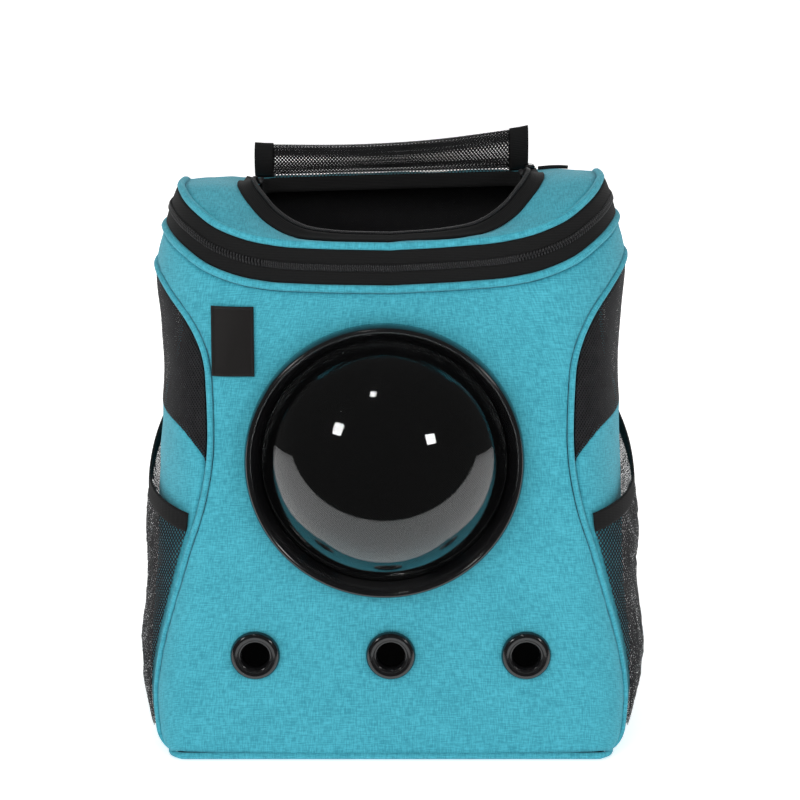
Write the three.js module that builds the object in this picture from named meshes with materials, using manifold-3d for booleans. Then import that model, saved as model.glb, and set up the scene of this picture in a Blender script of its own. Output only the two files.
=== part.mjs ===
// A bubble pet carrier backpack, in millimetres: +Z is up, the front with its clear bubble faces -Y,
// and the origin is the middle of the base on the floor.
// Cloth walls stand on one skin. A place on the skin is a station, which runs from 0 at the middle of
// the front to 5 at the middle of the back, and a climb, the length up the wall from its foot.
// Stations: 0 to 1 flat front, 1 to 2 front corner, 2 to 3 side, 3 to 4 rear corner, 4 to 5 back.
// A negative station is the same place on the left.
import * as THREE from "three";
import { mergeVertices } from "three/addons/utils/BufferGeometryUtils.js";
import Module from "manifold-3d";

const wasm = await Module();
wasm.setup();

// Body
const HALF_WIDTH = 178;
const DEPTH = 280;
const FRONT_HEIGHT = 360; // top of the cloth wall at the middle of the front
const SIDE_RISE = 37; // how much higher the wall is at the sides
const REAR_RADIUS = 28;
const BACK_FLAT = 145; // half width of the flat back
const FACE_FOOT_RADIUS = 4; // how the front and back walls turn in at the floor
const SIDE_FOOT_RADIUS = 28; // how the side gussets turn in at the floor
const TOP_TILT = 3.5; // the right end of the top stands this much higher, the left as much lower
const TILT_START = 300; // height where that lean begins
const WALL = 3;
const GAP = 0.3;

// Trim
const PIPING = 3; // radius
const PIPING_SUNK = 0.5;
const TAPE_LOWER = 9.5;
const TEETH_BAND = 5;
const TAPE_UPPER = 9.5;
const TAPE_THICK = 1.2;
const TEETH_THICK = 2.4;
const TEETH_PROUD = 0.6; // how far the chain stands out from its tapes
const LID_PIPING_SUNK = 2.6; // the lid's piping turns over onto the lid
const FRONT_FOOT_LIFT = 7; // how much higher the front panel ends at its two lower corners

// Bubble
const BUBBLE_BELOW_ZIP = 21.5; // from its ring to the top of the front
const BUBBLE_ACROSS = -4.5; // the soft front holds it a little to the left
const BEZEL_RADIUS = 103.5;
const BUBBLE_HEIGHT = FRONT_HEIGHT - BUBBLE_BELOW_ZIP - BEZEL_RADIUS;
const BEZEL_PROUD = 14;
const BEZEL_HOLE = 95; // cut in the front wall
const DOME_RADIUS = 92;
const DOME_PROUD = 64;
const DOME_THICK = 2;
const DOME_SEAT = 1.5; // how far out from the wall the dome starts to curve
const DOME_FLANGE = 6; // how far its flange passes the wall's hole

// Vents
const VENT_BELOW_BUBBLE = 47.5; // from the bubble's ring to the middle of the vents
const VENT_HEIGHT = BUBBLE_HEIGHT - BEZEL_RADIUS - VENT_BELOW_BUBBLE;
const VENT_SPACING = 102;
const VENT_RADIUS = 18.8;
const VENT_BORE = 10;
const VENT_HOLE = 13; // cut in the front wall
const VENT_PROUD = 5;
const VENT_COLLAR = 3; // how far its back ring passes the wall's hole
const VENT_BACK = 2; // thickness of that ring

// Label
const LABEL_WIDTH = 31;
const LABEL_HEIGHT = 54;
const LABEL_THICK = 2;
const LABEL_FROM_SIDE = 63; // from its middle to the bag's side
const LABEL_BELOW_ZIP = 7;
const LABEL_ACROSS = HALF_WIDTH - LABEL_FROM_SIDE;
const LABEL_MIDDLE = FRONT_HEIGHT - LABEL_BELOW_ZIP - LABEL_HEIGHT / 2;

// Lid
const LID_THICK = 3;
const LID_CROWN = 3;
const LID_DIP = 4; // how much lower the lid is at its mouth than at its edge
const LID_LIFT = 9; // how much higher it is at the mouth's rear, which the flap's seam holds up
const LIFT_START = 15; // depth where that lift begins
const MOUTH_HALF = 106;
const MOUTH_FRONT = -117;
const MOUTH_REAR = 88;
const MOUTH_FRONT_RADIUS = 80;
const MOUTH_REAR_RADIUS = 14;
const EDGING_WIDTH = 11;
const EDGING_THICK = 1.3;
const EDGING_LIFT = 8; // how far its inner edge curls up at the front
const EDGING_SHORT = 12; // where it stops, in front of the mouth's rear edge

// Rolled net flap
const ROLL_HALF = 111;
const ROLL_HEIGHT = 36;
const ROLL_DEPTH = 19;
const ROLL_BEHIND = 1; // its middle, behind the mouth's rear edge
const ROLL_TURNS = 1.9;
const ROLL_NARROWS = 2.3; // how much smaller its depth and its height are after each turn
const ROLL_LOWERS = 2.6;
const ROLL_TAPE = 15;
const HEM_HALF = 82;
const HEM_HEIGHT = 12;
const HEM_THICK = 1.2;
const NET_THICK = 1.2;

// Pocket
const POCKET_FOOT = 34; // climb of its lower seam
const POCKET_BAND = 14;
const POCKET_BAND_THICK = 1.8;
const POCKET_BULGE_RIGHT = 11;
const POCKET_BULGE_LEFT = 8;
const POCKET_OPEN = 8.5; // how much further its mouth stands open towards the rear

// Base and back
const BASE_THICK = 4;
const BACK_THICK = 14;
const BACK_PROUD = 2;
const BACK_CORNER = 8; // radius of the back's corners

// Carrying gear
const STRAP_WIDTH = 62;
const STRAP_THICK = 10;
const STRAP_OUT = 44; // how far a strap bows out from the back
const STRAP_BELOW_HANDLE = 5;
const STRAP_ACROSS = 96; // its lower end's distance from the middle
const WEBBING_WIDTH = 25;
const WEBBING_THICK = 2;
const HANDLE_HALF = 62;
const HANDLE_OUT = 24;
const HANDLE_BELOW_TOP = 3.5; // from its upper edge to the top of the back
const HANDLE_WIDTH = 26;
const HANDLE_THICK = 4;

// Slider of the mouth's zip, at its right end
const SLIDER_LENGTH = 13;
const SLIDER_WIDTH = 8;
const SLIDER_THICK = 3;
const PULL_LENGTH = 24;
const PULL_RADIUS = 1.5;

const DRILL_LENGTH = 40; // of the solids that cut the front's holes
const ROUND = 36; // sides of the bubble's rings
const VENT_ROUND = 16;

const FRONT = -DEPTH / 2;
const BACK = DEPTH / 2;
const TRIM_STEP = 2 * PIPING + 2 * GAP; // height of a row of piping with its gaps
const BAND_HEIGHT = TAPE_LOWER + TEETH_BAND + TAPE_UPPER + 2 * GAP;
const LID_EDGE = TRIM_STEP + BAND_HEIGHT + GAP; // from the wall's top to the foot of the lid's piping

// The plan at each height: wide and across, how far in the front corner starts, are shares of the half
// width, and deep, how far back the corner ends, is a share of the depth.
const PLANS = [
  { at: 0, wide: 1.01, across: 0.13, deep: 0.11 },
  { at: 0.15, wide: 1.035, across: 0.17, deep: 0.16 },
  { at: 0.4, wide: 1.012, across: 0.24, deep: 0.265 },
  { at: 0.6, wide: 1, across: 0.27, deep: 0.32 },
  { at: 0.8, wide: 0.99, across: 0.3, deep: 0.345 },
  { at: 0.92, wide: 1, across: 0.385, deep: 0.353 },
  { at: 1.02, wide: 1.01, across: 0.465, deep: 0.355 },
  { at: 1.1, wide: 0.975, across: 0.475, deep: 0.36 },
  { at: 1.16, wide: 0.94, across: 0.47, deep: 0.36 },
  { at: 1.22, wide: 0.89, across: 0.46, deep: 0.36 },
];

// How much higher the wall's top is round the bag, as a share of SIDE_RISE.
const RISES = [
  { at: 0, rise: 0 },
  { at: 0.6, rise: 0.06 },
  { at: 1, rise: 0.16 },
  { at: 1.3, rise: 0.42 },
  { at: 1.55, rise: 0.74 },
  { at: 1.8, rise: 0.97 },
  { at: 2, rise: 1 },
  { at: 2.25, rise: 0.93 },
  { at: 2.6, rise: 0.74 },
  { at: 3, rise: 0.48 },
  { at: 4, rise: 0.38 },
];

// The seam round the front panel, from the floor up its right side and back under the zip. Its rise is a
// share of the front's height.
const SEAM = [
  { at: 0, rise: 0.012, station: 1.6 },
  { at: 1, rise: 0.06, station: 1.64 },
  { at: 2, rise: 0.13, station: 1.64 },
  { at: 3, rise: 0.23, station: 1.53 },
  { at: 4, rise: 0.34, station: 1.39 },
  { at: 5, rise: 0.45, station: 1.26 },
  { at: 6, rise: 0.54, station: 1.14 },
  { at: 7, rise: 0.62, station: 1.085 },
  { at: 8, rise: 0.7, station: 1.075 },
  { at: 9, rise: 0.79, station: 1.12 },
  { at: 10, rise: 0.86, station: 1.2 },
  { at: 11, rise: 0.93, station: 1.36 },
  { at: 12, rise: 0.98, station: 1.54 },
  { at: 13, rise: 1.02, station: 1.76 },
  { at: 14, rise: 1.035, station: 2.05 },
  { at: 15, rise: 1.015, station: 2.5 },
  { at: 16, rise: 0.98, station: 3 },
  { at: 17, rise: 0.968, station: 3.98 },
];
const SEAM_TIP = 7.35; // where on the seam the window's lower tip is
const SEAM_POCKET = 5.45; // where the pocket's net ends on it

// The window's lower and rear edge, from its tip to its top rear corner.
const WINDOW_EDGE = [
  { at: 0, rise: 0.648, station: 1.09 },
  { at: 1, rise: 0.682, station: 1.23 },
  { at: 2, rise: 0.718, station: 1.48 },
  { at: 3, rise: 0.74, station: 2 },
  { at: 4, rise: 0.765, station: 2.55 },
  { at: 5, rise: 0.82, station: 2.93 },
  { at: 6, rise: 0.9, station: 3 },
  { at: 7, rise: 0.968, station: 3.02 },
];

// How far the pocket's net stands out, as a share of its side's bulge, up its height.
const POCKET_FOLDS = [
  { at: 0, out: 0 },
  { at: 0.12, out: 0.3 },
  { at: 0.36, out: 1 },
  { at: 0.55, out: 0.76 },
  { at: 0.66, out: 0.66 },
  { at: 0.84, out: 0.86 },
  { at: 1, out: 0.4 },
];
const POCKET_REAR = 3; // station of its rear seam
const POCKET_REAR_RISE = 0.64;

// The rolled flap from left to right: high is a share of its height there.
const ROLL_ENDS = [
  { at: 0, high: 0.78 },
  { at: 0.35, high: 0.72 },
  { at: 0.65, high: 0.78 },
  { at: 1, high: 1 },
];

// A shoulder strap from its upper end down: out, up and across are shares of the sizes named beside them,
// and wide is a share of its width.
const STRAP = [
  { at: 0, out: 0, up: 1, across: 0.6, wide: 1 },
  { at: 1, out: 0.06, up: 0.93, across: 0.6, wide: 1 },
  { at: 2, out: 0.36, up: 0.86, across: 0.61, wide: 1 },
  { at: 3, out: 0.8, up: 0.74, across: 0.65, wide: 1 },
  { at: 4, out: 1, up: 0.58, across: 0.73, wide: 0.95 },
  { at: 5, out: 0.88, up: 0.42, across: 0.84, wide: 0.8 },
  { at: 6, out: 0.6, up: 0.3, across: 0.92, wide: 0.65 },
];
// The webbing from the strap's lower end to the foot of the back.
const WEBBING = [
  { at: 0, out: 0.6, up: 0.3, across: 0.92 },
  { at: 1, out: 0.3, up: 0.18, across: 0.97 },
  { at: 2, out: 0.02, up: 0.09, across: 1 },
  { at: 3, out: 0, up: 0.04, across: 1 },
];
// The grab handle from its left end to its right.
const HANDLE = [
  { at: -1, out: 0 },
  { at: -0.8, out: 0.03 },
  { at: -0.5, out: 0.75 },
  { at: 0, out: 1 },
  { at: 0.5, out: 0.75 },
  { at: 0.8, out: 0.03 },
  { at: 1, out: 0 },
];

// Reads a table at a place between its rows, as a smooth curve through them.
function read(table, at) {
  const last = table.length - 1;
  const place = Math.min(Math.max(at, table[0].at), table[last].at);
  let k = 0;
  while (k < last - 1 && place > table[k + 1].at) k++;
  const [a, b] = [table[k], table[k + 1]];
  const span = b.at - a.at;
  const t = (place - a.at) / span;
  const out = {};
  for (const key of Object.keys(a)) {
    const before = table[Math.max(k - 1, 0)];
    const after = table[Math.min(k + 2, last)];
    const slopeA = ((b[key] - before[key]) / (b.at - before.at)) * span;
    const slopeB = ((after[key] - a[key]) / (after.at - a.at)) * span;
    out[key] =
      (2 * t ** 3 - 3 * t ** 2 + 1) * a[key] +
      (t ** 3 - 2 * t ** 2 + t) * slopeA +
      (3 * t ** 2 - 2 * t ** 3) * b[key] +
      (t ** 3 - t ** 2) * slopeB;
  }
  return out;
}

const blend = (a, b, t) => a + (b - a) * t;
const ease = (t) => {
  const s = Math.min(Math.max(t, 0), 1);
  return s * s * (3 - 2 * s);
};

// Where a station lies in the plan at a height, with the plan's outward direction there.
function plan(station, height) {
  const s = Math.abs(station);
  const side = Math.sign(station) || 1;
  const row = read(PLANS, height / FRONT_HEIGHT);
  const half = row.wide * HALF_WIDTH;
  const [across, deep] = [row.across * HALF_WIDTH, row.deep * DEPTH];
  const turn = ((s % 1) * Math.PI) / 2;
  const bend = (wide, long, nx, ny) => {
    const length = Math.hypot(nx / wide, ny / long);
    return { nx: (side * nx) / wide / length, ny: ny / long / length };
  };
  if (s <= 1) return { x: side * (half - across) * s, y: FRONT, nx: 0, ny: -1 };
  if (s < 2)
    return {
      x: side * (half - across + across * Math.sin(turn)),
      y: FRONT + deep * (1 - Math.cos(turn)),
      ...bend(across, deep, Math.sin(turn), -Math.cos(turn)),
    };
  if (s <= 3) {
    const y = blend(FRONT + deep, BACK - REAR_RADIUS, s - 2);
    return { x: side * half, y, nx: side, ny: 0 };
  }
  if (s < 4)
    return {
      x: side * (BACK_FLAT + (half - BACK_FLAT) * Math.cos(turn)),
      y: BACK - REAR_RADIUS + REAR_RADIUS * Math.sin(turn),
      ...bend(half - BACK_FLAT, REAR_RADIUS, Math.cos(turn), Math.sin(turn)),
    };
  return { x: side * BACK_FLAT * (5 - s), y: BACK, nx: 0, ny: 1 };
}

// How much of a side a station is, from 0 at the front and back to 1 at the sides.
function sideness(station) {
  const s = Math.abs(station);
  return Math.min(ease(s - 1), ease((3.5 - s) / 0.8));
}
const footRadius = (station) =>
  blend(FACE_FOOT_RADIUS, SIDE_FOOT_RADIUS, sideness(station));

// Height of the cloth wall's top at a station.
const wallTop = (station) =>
  FRONT_HEIGHT + SIDE_RISE * read(RISES, Math.abs(station)).rise;

// The climb that reaches a height at a station, and the climb of the wall's top.
function climbTo(station, height) {
  const r = footRadius(station);
  if (height < r) return r * Math.acos(1 - height / r);
  return height - r + (r * Math.PI) / 2;
}
const wallClimb = (station) => climbTo(station, wallTop(station));

// The top of the bag leans a little to the left.
function settle(p) {
  const share = ease((p.z - TILT_START) / (FRONT_HEIGHT - TILT_START));
  p.z += (TOP_TILT * share * p.x) / HALF_WIDTH;
  return p;
}

function onSkin(station, climb) {
  const r = footRadius(station);
  const quarter = (r * Math.PI) / 2;
  const turn = Math.min(Math.max(climb, 0), quarter) / r;
  const height = climb < quarter ? r * (1 - Math.cos(turn)) : climb - quarter + r;
  const inset = climb < quarter ? r * (1 - Math.sin(turn)) : 0;
  const p = plan(station, height);
  return settle(new THREE.Vector3(p.x - p.nx * inset, p.y - p.ny * inset, height));
}

// The skin's two directions and its outward normal at a place.
function frameAt(station, climb) {
  const [ds, dc] = [0.004, 0.4];
  const across = onSkin(station + ds, climb)
    .sub(onSkin(station - ds, climb))
    .divideScalar(2 * ds);
  const low = Math.max(climb - dc, 0);
  const up = onSkin(station, climb + dc)
    .sub(onSkin(station, low))
    .divideScalar(climb + dc - low);
  return { across, up, normal: across.clone().cross(up).normalize() };
}

// A point that stands lift above the skin, or below it where lift is negative.
function skin(station, climb, lift = 0) {
  const { normal } = frameAt(station, climb);
  return onSkin(station, climb).addScaledVector(normal, lift);
}

// A curve on the skin is a list of [station, climb].
function skinCurve(table, from, to, count) {
  return Array.from({ length: count }, (_, i) => {
    const row = read(table, blend(from, to, i / (count - 1)));
    return [row.station, climbTo(row.station, row.rise * FRONT_HEIGHT)];
  });
}

// The same curve moved sideways along the skin by a distance, towards higher stations if it is positive.
function beside(curve, distance) {
  return curve.map(([station, climb], i) => {
    const before = onSkin(...curve[Math.max(i - 1, 0)]);
    const after = onSkin(...curve[Math.min(i + 1, curve.length - 1)]);
    const { across, up, normal } = frameAt(station, climb);
    const along = after.sub(before).normalize();
    const aside = along.cross(normal).multiplyScalar(distance);
    const [aa, au, uu] = [across.dot(across), across.dot(up), up.dot(up)];
    const [ma, mu] = [aside.dot(across), aside.dot(up)];
    const scale = aa * uu - au * au;
    return [
      station + (ma * uu - mu * au) / scale,
      Math.max(climb + (mu * aa - ma * au) / scale, 0),
    ];
  });
}

const along = (a, b, t) => [blend(a[0], b[0], t), blend(a[1], b[1], t)];

// The same curve with its first half step and the end of its last step left off.
const trimmed = (curve) => [
  along(curve[0], curve[1], 0.5),
  ...curve.slice(1, -1),
  along(curve.at(-2), curve.at(-1), 0.85),
];

const mirrored = (curve) => curve.map(([station, climb]) => [-station, climb]);

// Turns a closed geometry's faces to face outwards.
function outwards(geometry) {
  const place = geometry.getAttribute("position");
  const index = geometry.index;
  const corner = (i) => new THREE.Vector3().fromBufferAttribute(place, index.getX(i));
  let volume = 0;
  for (let i = 0; i < index.count; i += 3)
    volume += corner(i).dot(corner(i + 1).cross(corner(i + 2)));
  if (volume > 0) return geometry;
  for (let i = 0; i < index.count; i += 3) {
    const second = index.getX(i + 1);
    index.setX(i + 1, index.getX(i + 2));
    index.setX(i + 2, second);
  }
  return geometry;
}

function closed(points, faces) {
  const geometry = new THREE.BufferGeometry().setFromPoints(points);
  geometry.setIndex(faces.flat());
  return outwards(geometry);
}

// A sheet between an outer and an inner grid of points. A ring's last column meets its first.
function shell(outer, inner, ring = false) {
  const [rows, cols] = [outer.length, outer[0].length];
  const points = [...outer.flat(), ...inner.flat()];
  const faces = [];
  const at = (layer, i, j) => layer * rows * cols + i * cols + (j % cols);
  const quad = (a, b, c, d) => faces.push([a, b, c], [a, c, d]);
  const steps = ring ? cols : cols - 1;
  for (let i = 0; i < rows - 1; i++)
    for (let j = 0; j < steps; j++) {
      quad(at(0, i, j), at(0, i, j + 1), at(0, i + 1, j + 1), at(0, i + 1, j));
      quad(at(1, i, j), at(1, i + 1, j), at(1, i + 1, j + 1), at(1, i, j + 1));
    }
  for (let j = 0; j < steps; j++) {
    quad(at(0, 0, j), at(1, 0, j), at(1, 0, j + 1), at(0, 0, j + 1));
    const top = rows - 1;
    quad(at(0, top, j), at(0, top, j + 1), at(1, top, j + 1), at(1, top, j));
  }
  if (!ring)
    for (let i = 0; i < rows - 1; i++) {
      quad(at(0, i, 0), at(0, i + 1, 0), at(1, i + 1, 0), at(1, i, 0));
      const end = cols - 1;
      quad(at(0, i, end), at(1, i, end), at(1, i + 1, end), at(0, i + 1, end));
    }
  return closed(points, faces);
}

// A sheet on the skin between two curves, with its outer face at lift and its inner face a thickness in.
// Lift may be a function of the place across and up the sheet, each from 0 to 1.
function panel(from, to, cols, thick, lift = 0) {
  const rise = typeof lift === "function" ? lift : () => lift;
  const grid = (depth) =>
    from.map(([s0, c0], i) =>
      Array.from({ length: cols }, (_, j) => {
        const u = j / (cols - 1);
        const out = rise(u, i / (from.length - 1)) - depth;
        return skin(blend(s0, to[i][0], u), blend(c0, to[i][1], u), out);
      }),
    );
  return shell(grid(0), grid(thick));
}

// A solid through sections, each a closed outline with the same number of points.
function loft(sections, loop = false) {
  const [rows, cols] = [sections.length, sections[0].length];
  const points = sections.flat();
  const faces = [];
  for (let i = 0; i < (loop ? rows : rows - 1); i++)
    for (let j = 0; j < cols; j++) {
      const [a, b] = [i * cols + j, i * cols + ((j + 1) % cols)];
      const step = ((i + 1) % rows) * cols;
      const [c, d] = [step + ((j + 1) % cols), step + j];
      faces.push([a, b, c], [a, c, d]);
    }
  if (!loop)
    for (const [row, turned] of [
      [0, true],
      [rows - 1, false],
    ])
      for (const [a, b, c] of capOf(sections[row]))
        faces.push(
          turned
            ? [row * cols + a, row * cols + c, row * cols + b]
            : [row * cols + a, row * cols + b, row * cols + c],
        );
  return closed(points, faces);
}

// Triangles that fill a flat outline in space, wound as the outline is.
function capOf(outline) {
  const normal = new THREE.Vector3();
  outline.forEach((p, i) => {
    const q = outline[(i + 1) % outline.length];
    normal.add(p.clone().cross(q));
  });
  normal.normalize();
  const flatten = new THREE.Quaternion().setFromUnitVectors(
    normal,
    new THREE.Vector3(0, 0, 1),
  );
  const flat = outline.map((p) => {
    const q = p.clone().applyQuaternion(flatten);
    return new THREE.Vector2(q.x, q.y);
  });
  return THREE.ShapeUtils.triangulateShape(flat, []);
}

// A round cord along points, each given with the direction that its section starts from.
function cord(points, normals, radius, sides = 6, loop = false) {
  const count = points.length;
  return loft(
    points.map((p, i) => {
      const before = points[loop ? (i + count - 1) % count : Math.max(i - 1, 0)];
      const after = points[loop ? (i + 1) % count : Math.min(i + 1, count - 1)];
      const along = after.clone().sub(before).normalize();
      const out = normals[i].clone().addScaledVector(along, -along.dot(normals[i]));
      out.normalize();
      const aside = along.clone().cross(out);
      return Array.from({ length: sides }, (_, j) => {
        const turn = (2 * Math.PI * j) / sides;
        return p
          .clone()
          .addScaledVector(out, radius * Math.cos(turn))
          .addScaledVector(aside, radius * Math.sin(turn));
      });
    }),
    loop,
  );
}

// A flat band along points: its width runs along wideWay and its thickness across it.
function ribbon(points, wideWay, width, thick) {
  return loft(
    points.map((p, i) => {
      const before = points[Math.max(i - 1, 0)];
      const after = points[Math.min(i + 1, points.length - 1)];
      const way = after.clone().sub(before).normalize();
      const side = wideWay.clone().addScaledVector(way, -way.dot(wideWay)).normalize();
      const out = way.clone().cross(side);
      const [w, t] = [(typeof width === "function" ? width(i) : width) / 2, thick / 2];
      const edge = Math.min(t, w) * 0.7;
      return [
        [w - edge, t],
        [w, t - edge],
        [w, edge - t],
        [w - edge, -t],
        [edge - w, -t],
        [-w, edge - t],
        [-w, t - edge],
        [edge - w, t],
      ].map(([a, b]) => p.clone().addScaledVector(side, a).addScaledVector(out, b));
    }),
  );
}

// Piping along a curve on the skin.
function piping(curve, sunk = PIPING_SUNK, loop = false) {
  const points = curve.map(([s, c]) => skin(s, c, -sunk));
  const normals = curve.map(([s, c]) => frameAt(s, c).normal);
  return cord(points, normals, PIPING, 5, loop);
}

function toSolid(geometry) {
  const bare = new THREE.BufferGeometry();
  bare.setAttribute("position", geometry.getAttribute("position"));
  bare.setIndex(geometry.index);
  const merged = mergeVertices(bare, 1e-4);
  return new wasm.Manifold(
    new wasm.Mesh({
      numProp: 3,
      vertProperties: merged.attributes.position.array,
      triVerts: new Uint32Array(merged.index.array),
    }),
  );
}

function toGeometry(solid) {
  const mesh = solid.getMesh();
  const geometry = new THREE.BufferGeometry();
  const array = new Float32Array(mesh.vertProperties);
  geometry.setAttribute("position", new THREE.BufferAttribute(array, 3));
  geometry.setIndex(new THREE.BufferAttribute(new Uint32Array(mesh.triVerts), 1));
  return geometry;
}

const cut = (geometry, ...tools) =>
  toGeometry(
    tools.reduce((solid, tool) => solid.subtract(toSolid(tool)), toSolid(geometry)),
  );
const overlapOf = (a, b) => toGeometry(toSolid(a).intersect(toSolid(b)));

// Turns a shape whose axis is +Y, outwards, so that it stands on the front wall at a height.
const onFront = (geometry, across, height) =>
  geometry.rotateX(Math.PI).translate(across, FRONT, height);

const CLOTH = { color: 0x45a9bd, roughness: 0.9 };
const BLACK_CLOTH = { color: 0x17171a, roughness: 0.85 };
const BLACK_NET = { color: 0x1c1c1e, roughness: 0.7 };
const BLACK_PLASTIC = { color: 0x0d0d0e, roughness: 0.25 };
const CLEAR = { color: 0x9aa0a3, roughness: 0.05, transparent: true, opacity: 0.35 };
const RUBBER = { color: 0x19181a, roughness: 0.6 };

const bag = new THREE.Group();
function add(name, geometry, finish) {
  const mesh = new THREE.Mesh(geometry, new THREE.MeshStandardMaterial(finish));
  mesh.name = name;
  bag.add(mesh);
}
const SIDES = [
  ["right", 1],
  ["left", -1],
];

// The cloth wall between two stations, from a low climb to its top.
function wall(stations, rows, low) {
  const grid = (depth) =>
    rows.map((share) =>
      stations.map((s) => skin(s, blend(low(s), wallClimb(s), share), -depth)),
    );
  return shell(grid(0), grid(WALL));
}

// Front panel: one cloth wall that wraps back under the zip on both sides.
const CORNER_STATIONS = [1.15, 1.3, 1.45, 1.6, 1.8, 2, 2.4, 2.7, 3, 3.3, 3.65, 4];
const FRONT_STATIONS = [0.5, 1, ...CORNER_STATIONS];
const FRONT_ROWS = [0, 0.04, 0.09, 0.2, 0.32, 0.44, 0.56, 0.67, 0.77, 0.86, 0.93, 1];
const SIDE_STATIONS = [1.02, ...CORNER_STATIONS];
const SIDE_ROWS = [0, 0.035, 0.07, 0.11, 0.2, 0.3, 0.4, 0.5, 0.6, 0.7, 0.8, 0.9, 1];
const acrossFront = [...FRONT_STATIONS.map((s) => -s).reverse(), 0, ...FRONT_STATIONS];
const seam = skinCurve(SEAM, 0, 17, 31);
const besideSeam = PIPING + 2 * GAP;
const CUTTER = 4; // how far the cutting solids pass the wall's faces
const sideCutter = (aside, sign) => {
  const edge = beside(seam, aside);
  const rear = edge.map(([, c], i) => [
    4.05,
    blend(-0.01, 1, i / (edge.length - 1)) * edge.at(-1)[1],
  ]);
  edge[0][1] = 0;
  const turned = (curve) => (sign < 0 ? mirrored(curve) : curve);
  return panel(turned(edge), turned(rear), 13, WALL + 2 * CUTTER, CUTTER);
};
const frontCloth = cut(
  wall(
    acrossFront,
    FRONT_ROWS,
    (s) => climbTo(s, TRIM_STEP) + FRONT_FOOT_LIFT * ease((Math.abs(s) - 1.3) / 0.3),
  ),
  sideCutter(-besideSeam, 1),
  sideCutter(-besideSeam, -1),
);
const drill = (radius, sides, across, height) =>
  onFront(new THREE.CylinderGeometry(radius, radius, DRILL_LENGTH, sides), across, height);
const ventPlaces = [
  ["left", -VENT_SPACING],
  ["middle", 0],
  ["right", VENT_SPACING],
];
add(
  "front_panel",
  cut(
    frontCloth,
    drill(BEZEL_HOLE, ROUND, BUBBLE_ACROSS, BUBBLE_HEIGHT),
    ...ventPlaces.map(([, across]) => drill(VENT_HOLE, VENT_ROUND, across, VENT_HEIGHT)),
  ),
  CLOTH,
);

// Bubble: a clear dome in a round bezel. The dome's flange holds it behind the wall.
const lathe = (profile, segments) =>
  outwards(
    new THREE.LatheGeometry(
      profile.map(([r, t]) => new THREE.Vector2(r, t)),
      segments,
    ),
  );
const bezelProfile = () => {
  const neck = DOME_RADIUS + GAP;
  const width = BEZEL_RADIUS - neck;
  const crown = Array.from({ length: 5 }, (_, i) => {
    const turn = (Math.PI * i) / 4;
    return [
      neck + (width / 2) * (1 + Math.cos(turn)),
      BEZEL_PROUD * (0.45 + 0.55 * Math.sin(turn)),
    ];
  });
  return [
    [neck, -WALL - GAP],
    [BEZEL_HOLE - GAP, -WALL - GAP],
    [BEZEL_HOLE - GAP, GAP],
    [BEZEL_RADIUS, GAP],
    ...crown,
    [neck, -WALL - GAP],
  ];
};
add("bubble_bezel", onFront(lathe(bezelProfile(), ROUND), BUBBLE_ACROSS, BUBBLE_HEIGHT), BLACK_PLASTIC);
const domeProfile = () => {
  const cap = (radius, height) => {
    const ball = (radius ** 2 + height ** 2) / (2 * height);
    const half = Math.asin(radius / ball);
    return Array.from({ length: 6 }, (_, i) => {
      const turn = (half * i) / 5;
      return [ball * Math.sin(turn), DOME_SEAT + height - ball * (1 - Math.cos(turn))];
    });
  };
  const inside = DOME_RADIUS - DOME_THICK;
  const back = -WALL - 2 * GAP;
  return [
    ...cap(DOME_RADIUS, DOME_PROUD),
    [DOME_RADIUS, back],
    [BEZEL_HOLE + DOME_FLANGE, back],
    [BEZEL_HOLE + DOME_FLANGE, back - DOME_THICK],
    [inside, back - DOME_THICK],
    ...cap(inside, DOME_PROUD - DOME_THICK).reverse(),
  ];
};
add("bubble_dome", onFront(lathe(domeProfile(), ROUND), BUBBLE_ACROSS, BUBBLE_HEIGHT), CLEAR);

// Vents: eyelets spun over both faces of the wall.
const ventProfile = () => {
  const neck = VENT_HOLE - GAP;
  return [
    [VENT_BORE, -WALL - VENT_BACK],
    [VENT_HOLE + VENT_COLLAR, -WALL - VENT_BACK],
    [VENT_HOLE + VENT_COLLAR, -WALL - GAP],
    [neck, -WALL - GAP],
    [neck, GAP],
    [VENT_RADIUS, GAP],
    [VENT_RADIUS - 2, VENT_PROUD],
    [VENT_HOLE, 0.9 * VENT_PROUD],
    [VENT_BORE, 0.2 * VENT_PROUD],
    [VENT_BORE, -WALL - VENT_BACK],
  ];
};
for (const [place, across] of ventPlaces)
  add("vent_" + place, onFront(lathe(ventProfile(), VENT_ROUND), across, VENT_HEIGHT), BLACK_PLASTIC);

// Label: a blank rubber patch sewn on the upper left.
const stationOf = (across, height) => {
  const row = read(PLANS, height / FRONT_HEIGHT);
  const corner = row.across * HALF_WIDTH;
  const flat = row.wide * HALF_WIDTH - corner;
  if (across <= flat) return across / flat;
  return 1 + Math.asin((across - flat) / corner) / (Math.PI / 2);
};
const labelEdge = (across) =>
  [0, 0.5, 1].map((t) => {
    const height = LABEL_MIDDLE + (t - 0.5) * LABEL_HEIGHT;
    const station = stationOf(across, height);
    return [-station, climbTo(station, height)];
  });
add(
  "label",
  panel(
    labelEdge(LABEL_ACROSS + LABEL_WIDTH / 2),
    labelEdge(LABEL_ACROSS - LABEL_WIDTH / 2),
    4,
    LABEL_THICK,
    LABEL_THICK + GAP,
  ),
  RUBBER,
);

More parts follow.
